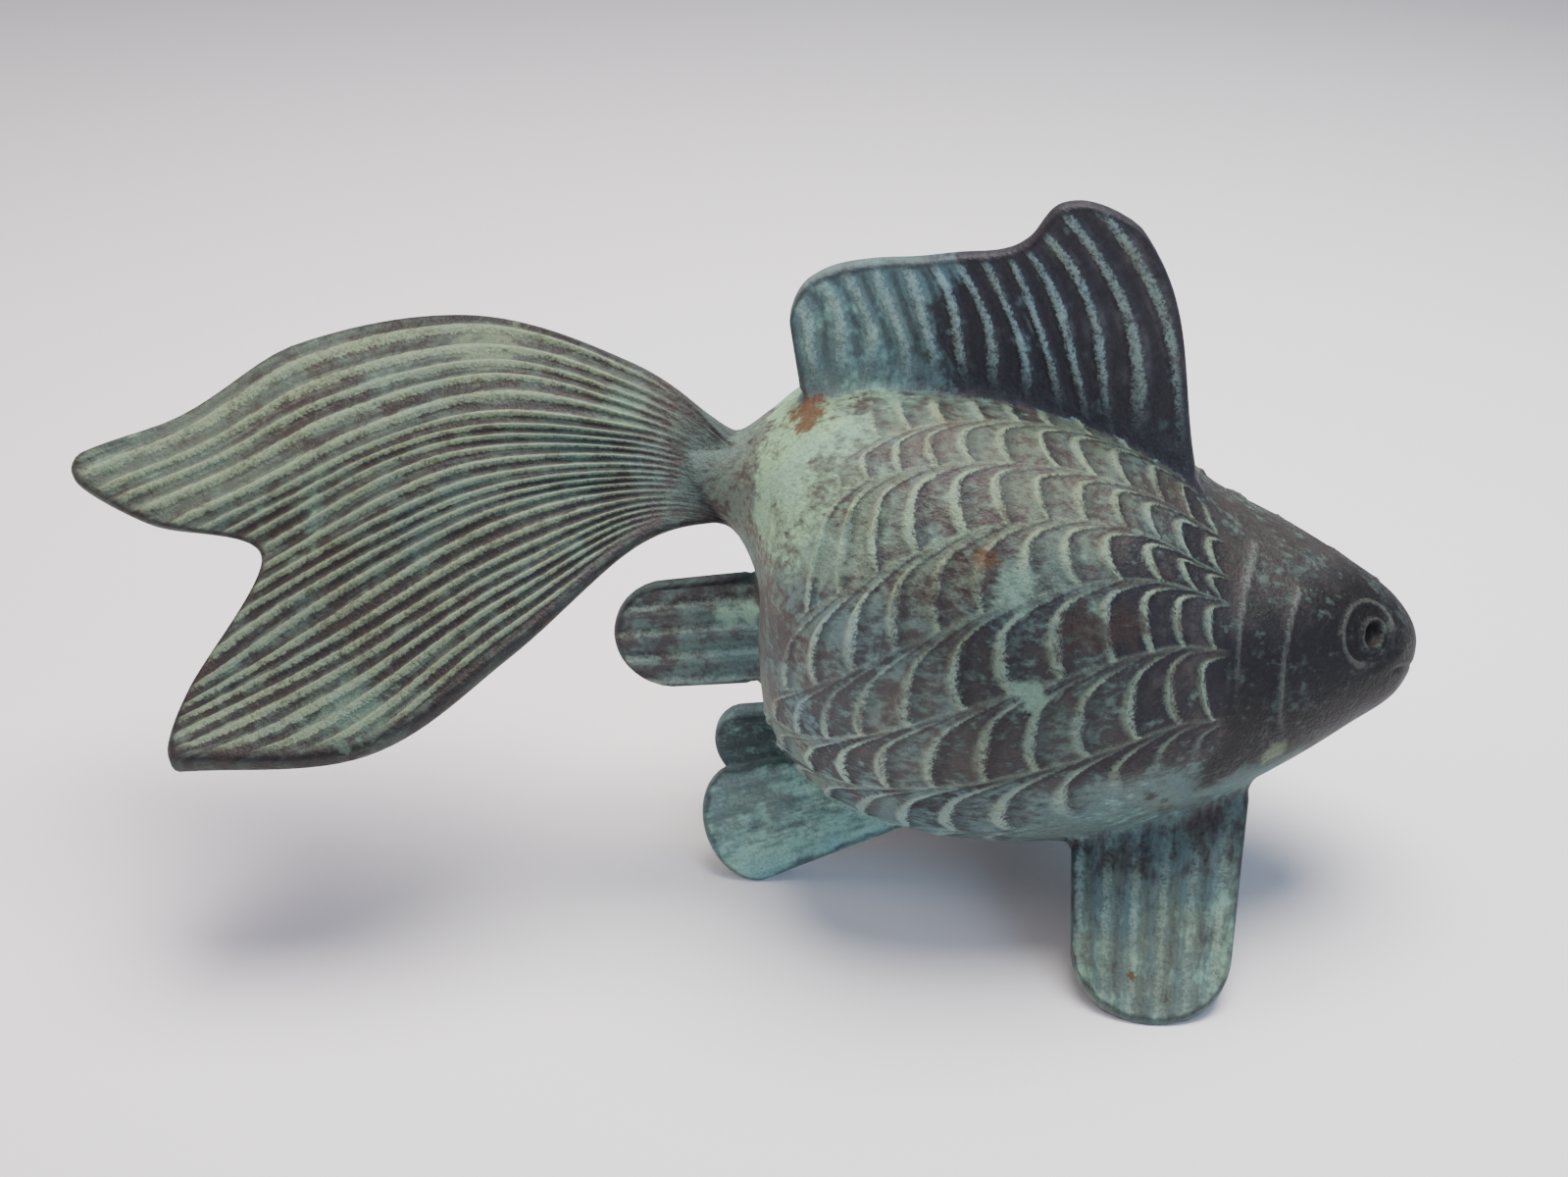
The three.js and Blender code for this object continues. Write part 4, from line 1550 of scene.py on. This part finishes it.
@dataclass(frozen=True)
class Site:
    """What the material knows of a point.

    Attributes:
        make: Maker of the nodes.
        broad: Noise with clouds 4 cm across.
        cloud: Noise with clouds 13 mm across.
        mottle: Noise with spots 4 mm across.
        grain: Noise with grains under 1 mm across.
        brushed: Noise drawn out along the fins' ribs.
        carved: The carving's lines.
        cool: How cool the colours are.
        filmed: How much film covers the metal.
        bloomed: How much mint bloom does.
        light: How light the crests are.
        dark: How dark the bare metal is.
        gain: How light it is in all.
        on_fin: 1 on the fins and 0 on the body.
        rim: Millimetres from a fin's free edge; on the body the marks of the face's lines.
    """

    make: NodeMaker
    broad: Value
    cloud: Value
    mottle: Value
    grain: Value
    brushed: Value
    carved: Carved
    cool: Value
    filmed: Value
    bloomed: Value
    light: Value
    dark: Value
    gain: Value
    on_fin: Value
    rim: Value


@dataclass(frozen=True)
class Verdigris:
    """The casting's finish: brown and slate bronze under teal film, mint bloom and rubbed crests.

    Attributes:
        bronze: The bare metal.
        film: The thin film over it.
        bloom: The thick deposit.
        crest: The rubbed crests.
        soot_and_shade: The darkest metal and hollows; the same colour is painted shade ahead of the
            scales' crescents.
        face_line: The gill lines and the eyes' rings.
        iris: The eyes' hollows and the mouth's groove.
        tones: The regions, each over those before it.
        spots: The stains and deposits, and a patch of painted shade on the far pelvic fin.
        wander: Frequency and phase of the waves that unsettle the regions' edges.
        wander_size: How far they do, in millimetres.
        rubbed_place: Where in each rib's share of a fin's width the metal is rubbed most.
        scales: The scales' curve.
    """

    bronze: Hue = Hue((0.074, 0.06, 0.05), (0.044, 0.053, 0.059))
    film: Hue = Hue((0.125, 0.16, 0.11), (0.082, 0.143, 0.148))
    bloom: Hue = Hue((0.26, 0.43, 0.235), (0.17, 0.325, 0.3))
    crest: Hue = Hue((0.25, 0.31, 0.18), (0.17, 0.26, 0.255))
    soot_and_shade: tuple[float, float, float] = (0.017, 0.015, 0.018)
    face_line: tuple[float, float, float] = (0.2, 0.215, 0.18)
    iris: tuple[float, float, float] = (0.02, 0.014, 0.012)
    tones: tuple[Tone, ...] = (
        Tone(Part.BODY, (0.4, 0.42, 0.28), (0.8, 0.62, 0.7)),
        Tone(Part.BODY, (0.6, 0.48, 0.25), (0.9, 0.55, 1.28), along=(50, 20)),
        Tone(Part.BODY, (0.15, 0.55, 0.35), (0.85, 0.25, 0.92), height=(76, 92)),
        Tone(Part.BODY, (0.38, 0.3, 0.13), (0.72, 0.7, 0.79), along=(66, 88)),
        Tone(Part.BODY, (0.75, 0.7, 0.35), (0.85, 0.5, 1.15), height=(50, 22)),
        Tone(Part.BODY, (0.65, 0.75, 0.42), (0.4, 0.45, 1.0), along=(52, 70), height=(50, 38)),
        Tone(Part.BODY, (0.2, 0.75, 0.8), (0.6, 0.3, 1.12), along=(36, 4), height=(66, 88)),
        Tone(Part.BODY, (0.3, 0.32, 0.06), (0.5, 0.8, 0.34), along=(89, 94), height=(33, 46)),
        Tone(Part.BODY, (0.3, 0.4, 0.0), (0.5, 0.38, 0.64), along=(82, 96), height=(65, 74)),
        Tone(Part.BODY, (0.25, 0.6, 0.3), (0.5, 0.4, 1.18), along=(9, 1)),
        Tone(Part.TAIL, (0.12, 0.5, 0.32), (0.95, 0.55, 0.73)),
        Tone(Part.TAIL, (0.1, 0.65, 0.5), (0.85, 0.4, 0.79), along=(-60, -115)),
        Tone(Part.TAIL, (0.12, 0.46, 0.32), (0.92, 0.58, 0.65), height=(80, 62)),
        Tone(Part.TAIL, (0.18, 0.45, 0.2), (0.6, 0.5, 0.92), along=(-44, -14)),
        Tone(Part.DORSAL, (0.7, 0.85, 0.5), (0.6, 0.55, 1.5)),
        Tone(Part.DORSAL, (0.78, 0.24, 0.04), (0.5, 0.7, 1.48), along=(24, 46)),
        Tone(Part.ANAL, (0.6, 0.55, 0.25), (0.4, 0.35, 1.52)),
        Tone(Part.PECTORAL, (0.6, 0.55, 0.3), (0.45, 0.4, 1.03)),
        Tone(Part.PECTORAL, (0.5, 0.8, 0.55), (0.4, 0.3, 0.88), height=(22, 8)),
        Tone(Part.PELVIC, (0.75, 0.85, 0.6), (0.25, 0.25, 1.45)),
    )
    spots: tuple[Spot, ...] = (
        Spot((13.5, -7.2, 101.9), 4.6, RUST, 0.9),
        Spot((47.3, -34.9, 85.9), 3.4, RUST, 0.8),
        Spot((46.6, -35.5, 84.0), 5.2, BROWN_STAIN, 0.5),
        Spot((66.5, -37.3, 74.9), 5.5, BROWN_STAIN, 0.75),
        Spot((73.3, -35.3, 74.5), 4.5, BROWN_STAIN, 0.75),
        Spot((91.9, -27.7, 25.6), 5.5, BROWN_STAIN, 0.45),
        Spot((26.4, -33.7, 31.9), 4.0, RUST, 0.22),
        Spot((78.9, -51.0, 6.2), 0.9, RUST, 0.9),
        Spot((56.6, -43.0, 63.7), 3.9, MINT_BLOB, 0.85),
        Spot((52.4, -36.4, 82.0), 4.5, MINT_BLOB, 0.6),
        Spot((1.1, -2.0, 54.8), 3.2, MINT_BLOB, 0.8),
        Spot((-2.5, -2.6, 54.2), 3.0, MINT_BLOB, 0.75),
        Spot((105.0, -27.2, 42.6), 3.1, PALE_GREEN, 0.8),
        Spot((-51.5, 17.2, 103.3), 8.0, PALE_GREEN, 0.5),
        Spot((-22.5, 4.2, 97.6), 6.0, MINT_BLOB, 0.35),
        Spot((-68.6, -40.1, 51.5), 8.0, MINT_BLOB, 0.5),
        Spot((18.6, -31.9, 86.3), 6.0, MINT_BLOB, 0.45),
        Spot((5.5, -18.1, 80.8), 0.7, BROWN_STAIN, 0.9),
        # A patch of painted shade on the far pelvic fin, where shadow falls under the body.
        Spot((-5.0, 13.5, 12.0), 15.0, FAR_FIN_SHADE, 0.7),
    )
    wander: tuple[tuple[float, float], ...] = ((1.0, 0.3), (2.3, 1.1), (4.9, 2.3))
    wander_size: float = 4.0
    rubbed_place: float = 0.32
    scales: ScaleCarving = ScaleCarving()

    def tint(self, casting: bpy.types.Object) -> None:
        """Note at each corner how the patina lies there, and how near the stains and the patch of painted
        shade are.

        The tones are laid over one another with soft steps of place, whose edges wander by sums
        of sines. Of the stains and the patch of painted shade, the nearest one, by distance over radius,
        is noted.

        Args:
            casting: The casting, whose faces are still marked by their forms.
        """
        mesh = casting.data
        places = read(mesh.vertices, "co", np.float32, 3) / MM
        form = Casting.form_range(mesh)[1]
        x, y, z = places.T
        wander = sum(np.sin(k * x * 0.11 + a) * np.sin(k * y * 0.13 + 2 * a)
                     * np.sin(k * z * 0.12 + 3 * a) / k for k, a in self.wander)
        look = np.zeros((len(x), 4))
        metal = np.zeros((len(x), 4))
        for tone in self.tones:
            mask = (form == tone.part.value).astype(float)
            for value, fade in ((x, tone.along), (z, tone.height)):
                if fade:
                    mask *= smooth(*fade, value + self.wander_size * wander)
            look[:, :3] += mask[:, None] * (np.array(tone.look) - look[:, :3])
            metal[:, :3] += mask[:, None] * (np.array(tone.metal) - metal[:, :3])
        stain_and_shade = np.tile((0.0, 0.0, 0.0, FAR_FROM_SPOTS), (len(x), 1))
        for spot in self.spots:
            off = np.linalg.norm(places - spot.centre, axis=1) / spot.radius
            closer = off < stain_and_shade[:, 3]
            stain_and_shade[closer] = np.column_stack([np.tile(spot.colour, (closer.sum(), 1)), off[closer]])
            metal[closer, 3] = spot.strength
        for name, values in (("look", look), ("metal", metal), ("stain_and_shade", stain_and_shade)):
            layer = mesh.color_attributes.new(name, "FLOAT_COLOR", "POINT")
            layer.data.foreach_set("color", values.astype(np.float32).ravel())
        LOG.info("patina: %d tones and %d stains", len(self.tones), len(self.spots))

    def carving(self, make: NodeMaker, grain: Value) -> Carved:
        """Where the carving's lines lie, from the corner layers.

        The scales' crescents use the same curve as the mesh, and the ribs a cosine as wide as theirs.

        Args:
            make: Maker of the nodes.
            grain: Fine noise that frays the lines' edges.

        Returns:
            The lines.
        """
        along, across = make.layer("pattern")
        scaled, ribbed = make.layer("strength")
        row = across.math("FLOOR")
        in_row = across - row
        s = self.scales
        above = (1 - in_row / s.rearmost).most(0.0)
        below = ((in_row - s.rearmost) / (1 - s.rearmost)).most(0.0)
        place = along + above**s.upper_power * s.forward_upper + below**s.lower_power * s.forward_lower
        upper_slope = s.aspect * s.forward_upper * s.upper_power / s.rearmost
        lower_slope = s.aspect * s.forward_lower * s.lower_power / (1 - s.rearmost)
        steep = above ** (s.upper_power - 1) * upper_slope + below ** (s.lower_power - 1) * lower_slope
        away = (place - (place + 0.5).math("FLOOR")) / (steep * steep + 1.0) ** 0.5
        width = in_row.bell(s.fullest, 0.55) * s.belly_width + s.arm_width
        far = away / width + grain.sway(2.2)
        calm = 1.15 - steep.step(0.6, 3.6)
        scale = make.join(place.math("FLOOR") + 0.5, row + 0.5, 0.5)
        luck = make.node("ShaderNodeTexWhiteNoise", {"noise_dimensions": "3D"}, {"Vector": scale})
        return Carved(
            roll=abs(far + 0.15).step(1.7, 0.1) * scaled * calm,
            seam=abs(in_row - 0.5).step(0.44, 0.5) * scaled,
            # The cut lines and hollows ahead of the crescents carry painted shade.
            cut=far.bell(-1.7, 0.8) * scaled * calm,
            shade=far.bell(-2.6, 2.4) * scaled,
            crest=abs(((along - self.rubbed_place) * math.pi).math("COSINE")),
            ribbed=ribbed,
            luck=(Value(make, luck.outputs["Value"]) - 0.5) * scaled,
            along=along, across=across)

    def site(self, make: NodeMaker) -> Site:
        """Read the noises, the corner layers and the patina's attributes.

        The brushed noise follows the pattern on the fins, and is drawn out along the body.

        Args:
            make: Maker of the nodes.

        Returns:
            The values at the point that is shaded.
        """
        place = make.place()
        cloud = make.noise(make.shifted(place, (0.31, 0.17, 0.23)), 75.0, 3.0, 0.65)
        grain = make.noise(make.shifted(place, (0.71, 0.27, 0.53)), 1400.0, 1.0, 0.8)
        carved = self.carving(make, grain)
        kind, rim = make.layer("form")
        on_fin = kind.step(0.4, 0.6)
        along_body = make.shifted(place, (0, 0, 0), (330, 600, 600))
        along_ribs = make.join(carved.along * 2.2, carved.across * 6.0, kind * 7.0)
        cool, filmed, bloomed = make.parts(make.attribute("look")[0])
        light, dark, gain = make.parts(make.attribute("metal")[0])
        return Site(
            make=make, broad=make.noise(place, 24.0, 2.0, 0.6), cloud=cloud,
            mottle=make.noise(make.shifted(place, (0.11, 0.57, 0.43)), 240.0, 2.0, 0.75), grain=grain,
            brushed=make.noise(make.between(on_fin, along_body, along_ribs), 1.0, 2.0, 0.7),
            carved=carved, cool=cool + cloud.sway(1.4) + carved.luck * 0.3,
            filmed=filmed, bloomed=bloomed, light=light, dark=dark, gain=gain, on_fin=on_fin, rim=rim)

    def layers(self, at: Site) -> tuple[Value, Value, Value]:
        """Bronze, its darkest metal, film and bloom, one over the other.

        Each covers the places where a sum of the noises, shifted by its amount, passes a step.

        Args:
            at: The point.

        Returns:
            The colour, and the shares that film and bloom cover.
        """
        mix = at.make.mix
        dark = (at.mottle * 0.35 + at.cloud * 0.3 + at.brushed * 0.35 + at.dark.sway(0.42)
                + at.carved.luck * 0.14).step(0.43, 0.6)
        base = mix(dark * 0.85, self.bronze.at(at.make, at.cool), self.soot_and_shade)
        film = (at.cloud * 0.35 + at.mottle * 0.3 + at.brushed * 0.35 + at.filmed.sway(0.42)
                - at.carved.luck * 0.1).step(0.44, 0.57)
        base = mix(film * 0.8, base, self.film.at(at.make, at.cool))
        bloom = (at.broad * 0.35 + at.cloud * 0.25 + at.mottle * 0.2 + at.brushed * 0.2
                 + at.bloomed.sway(0.36)).step(0.5, 0.6)
        return mix(bloom * 0.75, base, self.bloom.at(at.make, at.cool)), film, bloom

    def wear_and_shade(self, at: Site, base: Value, bloom: Value) -> tuple[Value, Value]:
        """Soot in the ribs' hollows and on the fins' plain bands, painted shade in the hollows and along
        the cut lines ahead of the scales' crescents, and light metal on the rubbed crests.

        Args:
            at: The point.
            base: Its colour.
            bloom: The share that bloom covers.

        Returns:
            The new colour, and the share that is rubbed.
        """
        mix, carved = at.make.mix, at.carved
        between = (carved.crest + at.mottle.sway(0.7)).step(0.62, 0.15) * carved.ribbed
        hollow = between * (at.dark - 0.1) * 1.25
        # The ribs' hollows darken with patina; the hollows ahead of the scales' crescents get painted
        # shade.
        base = mix((hollow * 0.75 + carved.shade * 0.42) * (1.15 - bloom * 0.6), base, self.soot_and_shade)
        band = (1 - carved.ribbed) * at.on_fin * (at.dark - 0.3).most(0.0) * (0.6 + at.mottle)
        base = mix(band, base, self.soot_and_shade)
        crest = (carved.crest + at.light * 0.3 + at.grain.sway(0.35)
                 + at.mottle.sway(0.25)).step(0.96, 1.16)
        patchy = (at.cloud * 0.5 + at.mottle * 0.5 + at.grain * 0.3
                  + carved.luck * 0.3).step(0.3, 0.84)
        rubbed = crest * carved.ribbed + carved.roll + carved.seam * 0.4
        worn = (rubbed * at.light * patchy * 1.4).least(0.92)
        base = mix(worn, base, self.crest.at(at.make, at.cool))
        # Painted shade along the cut lines just ahead of the scales' crescents.
        return mix(carved.cut * (at.mottle * 0.8), base, self.soot_and_shade), worn

    def marks(self, at: Site, base: Value) -> Value:
        """The fins' dark edges, the face's lines and hollows, the stains, the patch of painted shade on
        the far pelvic fin and the casting pits.

        Args:
            at: The point.
            base: Its colour.

        Returns:
            The colour with them.
        """
        mix = at.make.mix
        on_body = 1 - at.on_fin
        base = mix((at.rim + at.mottle.sway(2.4)).bell(0.9, 1.1) * at.on_fin * 0.6, base, self.soot_and_shade)
        line = (at.rim + at.grain.sway(0.7) + at.mottle.sway(0.5)).step(0.15, 0.95)
        base = mix(line * on_body * 0.8, base, self.face_line)
        base = mix(at.rim.step(-0.15, -0.8) * on_body * 0.85, base, self.iris)
        # Stains, and the patch of painted shade on the far pelvic fin.
        stain_and_shade, off = at.make.attribute("stain_and_shade")
        spot_cover = (off + at.mottle.sway(2.4) + at.grain.sway(0.6)).step(1.2, 0.5)
        base = mix(spot_cover * at.make.attribute("metal")[1], base, stain_and_shade)
        base = mix(at.grain.step(0.66, 0.76) * 0.6, base, self.soot_and_shade)
        return at.make.times(base, at.gain * (0.25 + at.grain * 0.85 + at.brushed * 0.65))

    def build(self) -> bpy.types.Material:
        """Make the material.

        Returns:
            The material.
        """
        material, make = new_material("verdigris_bronze")
        at = self.site(make)
        base, film, bloom = self.layers(at)
        base, worn = self.wear_and_shade(at, base, bloom)
        base = self.marks(at, base)
        height = at.mottle * 0.0004 + at.grain * 0.00022
        bump = make.node("ShaderNodeBump", {}, {"Strength": 1.0, "Distance": 1.0, "Height": height})
        shader = make.node("ShaderNodeBsdfPrincipled", {}, {
            "Base Color": base, "Roughness": 0.6 + film * 0.12 + bloom * 0.14 + at.grain.sway(0.25),
            "Metallic": (0.3 - film * 0.3 - bloom * 0.3 - worn * 0.3).most(0.0),
            "Specular IOR Level": 0.35, "Normal": Value(make, bump.outputs[0])})
        make.node("ShaderNodeOutputMaterial", {}, {"Surface": Value(make, shader.outputs[0])})
        return material


@dataclass(frozen=True)
class PaleFloor:
    """A plain pale floor without shine.

    Attributes:
        colour: Its colour.
        size: Half its side in metres.
    """

    colour: tuple[float, float, float] = (0.93, 0.895, 0.885)
    size: float = 4.0

    def build(self) -> bpy.types.Object:
        """Make the floor, a square just under the soles.

        Returns:
            None, as marking the floor as backdrop gives nothing back.
        """
        half = self.size
        corners = [(-half, -half, 0), (half, -half, 0), (half, half, 0), (-half, half, 0)]
        mesh = bpy.data.meshes.new("floor")
        mesh.from_pydata(corners, [], [(0, 1, 2, 3)])
        obj = bpy.data.objects.new("floor", mesh)
        bpy.context.scene.collection.objects.link(obj)
        material, make = new_material("pale_floor")
        shader = make.node("ShaderNodeBsdfPrincipled", {}, {
            "Base Color": self.colour, "Roughness": 0.9, "Specular IOR Level": 0.15})
        make.node("ShaderNodeOutputMaterial", {}, {"Surface": Value(make, shader.outputs[0])})
        mesh.materials.append(material)
        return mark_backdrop(obj)


def facing(place: Sequence[float], aim: Sequence[float]) -> Euler:
    """Turn of a light or camera at one place that points at another."""
    return (Vector(aim) - Vector(place)).to_track_quat("-Z", "Y").to_euler()


@dataclass(frozen=True)
class SoftLight:
    """A broad area light.

    Attributes:
        name: Its name.
        place: Where it hangs, in metres.
        aim: Where it points.
        size: Its side in metres.
        power: In watts.
        colour: Its colour.
        spread: How wide it shines, in radians.
    """

    name: str
    place: tuple[float, float, float]
    aim: tuple[float, float, float]
    size: float
    power: float
    colour: tuple[float, float, float] = (1.0, 1.0, 1.0)
    spread: float = math.pi

    def build(self) -> bpy.types.Object:
        """Hang the light.

        Returns:
            The light.
        """
        data = bpy.data.lights.new(self.name, "AREA")
        data.shape = "DISK"
        data.size = self.size
        data.energy = self.power
        data.spread = self.spread
        data.color = self.colour
        light = bpy.data.objects.new(self.name, data)
        light.location = self.place
        light.rotation_euler = facing(self.place, self.aim)
        bpy.context.scene.collection.objects.link(light)
        return light


@dataclass(frozen=True)
class Studio:
    """The floor, the soft lights and the camera.

    Attributes:
        lights: The lights.
        sky: Colour of the even light from all round.
        sky_strength: Its strength.
        camera_place: Where the camera stands, in metres.
        camera_aim: Where it points.
        lens: Focal length on a frame 36 mm wide.
    """

    lights: tuple[SoftLight, ...] = (
        SoftLight("overhead", (0.12, 0.16, 0.85), (0.06, 0.06, 0.0), 0.7, 5.4, (1.0, 0.97, 0.95),
                  math.radians(95)),
        SoftLight("left", (-1.1, 0.0, 0.45), (-0.45, 0.45, 0.0), 0.8, 8.0, (1.0, 0.76, 0.7)),
        SoftLight("right", (0.9, -0.75, 0.6), (0.1, 0.0, 0.05), 0.9, 6.5, (0.66, 0.82, 1.15)),
    )
    sky: tuple[float, float, float] = (0.74, 0.85, 1.16)
    sky_strength: float = 0.26
    camera_place: tuple[float, float, float] = (0.034913, -0.374937, 0.276500)
    camera_aim: tuple[float, float, float] = (0.008694, 0.0, 0.0595)
    lens: float = 49.53

    def build(self) -> None:
        """Set up the floor, the lights, the sky and the camera."""
        PaleFloor().build()
        for light in self.lights:
            light.build()
        world = bpy.data.worlds.new("studio")
        world.use_nodes = True
        background = world.node_tree.nodes["Background"]
        background.inputs[0].default_value = (*self.sky, 1.0)
        background.inputs[1].default_value = self.sky_strength
        bpy.context.scene.world = world
        data = bpy.data.cameras.new("camera")
        data.lens = self.lens
        data.sensor_width = 36.0
        data.clip_start = 0.01
        camera = bpy.data.objects.new("camera", data)
        camera.location = self.camera_place
        camera.rotation_euler = facing(self.camera_place, self.camera_aim)
        bpy.context.scene.collection.objects.link(camera)
        bpy.context.scene.camera = camera
        LOG.info("studio: floor, camera and %d lights", len(self.lights))


def main() -> None:
    """Build the studio and the casting in order, and log the casting's faces."""
    logging.basicConfig(level=logging.INFO, format="%(message)s")
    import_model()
    Studio().build()
    casting = Casting().build()
    finish = Verdigris()
    finish.tint(casting)
    casting.data.materials.clear()
    casting.data.materials.append(finish.build())
    casting.data.polygons.foreach_set("material_index", np.zeros(len(casting.data.polygons), np.int32))
    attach(casting, "root")
    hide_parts("goldfish")
    LOG.info("%s: %d faces", casting.name, len(casting.data.polygons))


if __name__ == "__main__":
    main()
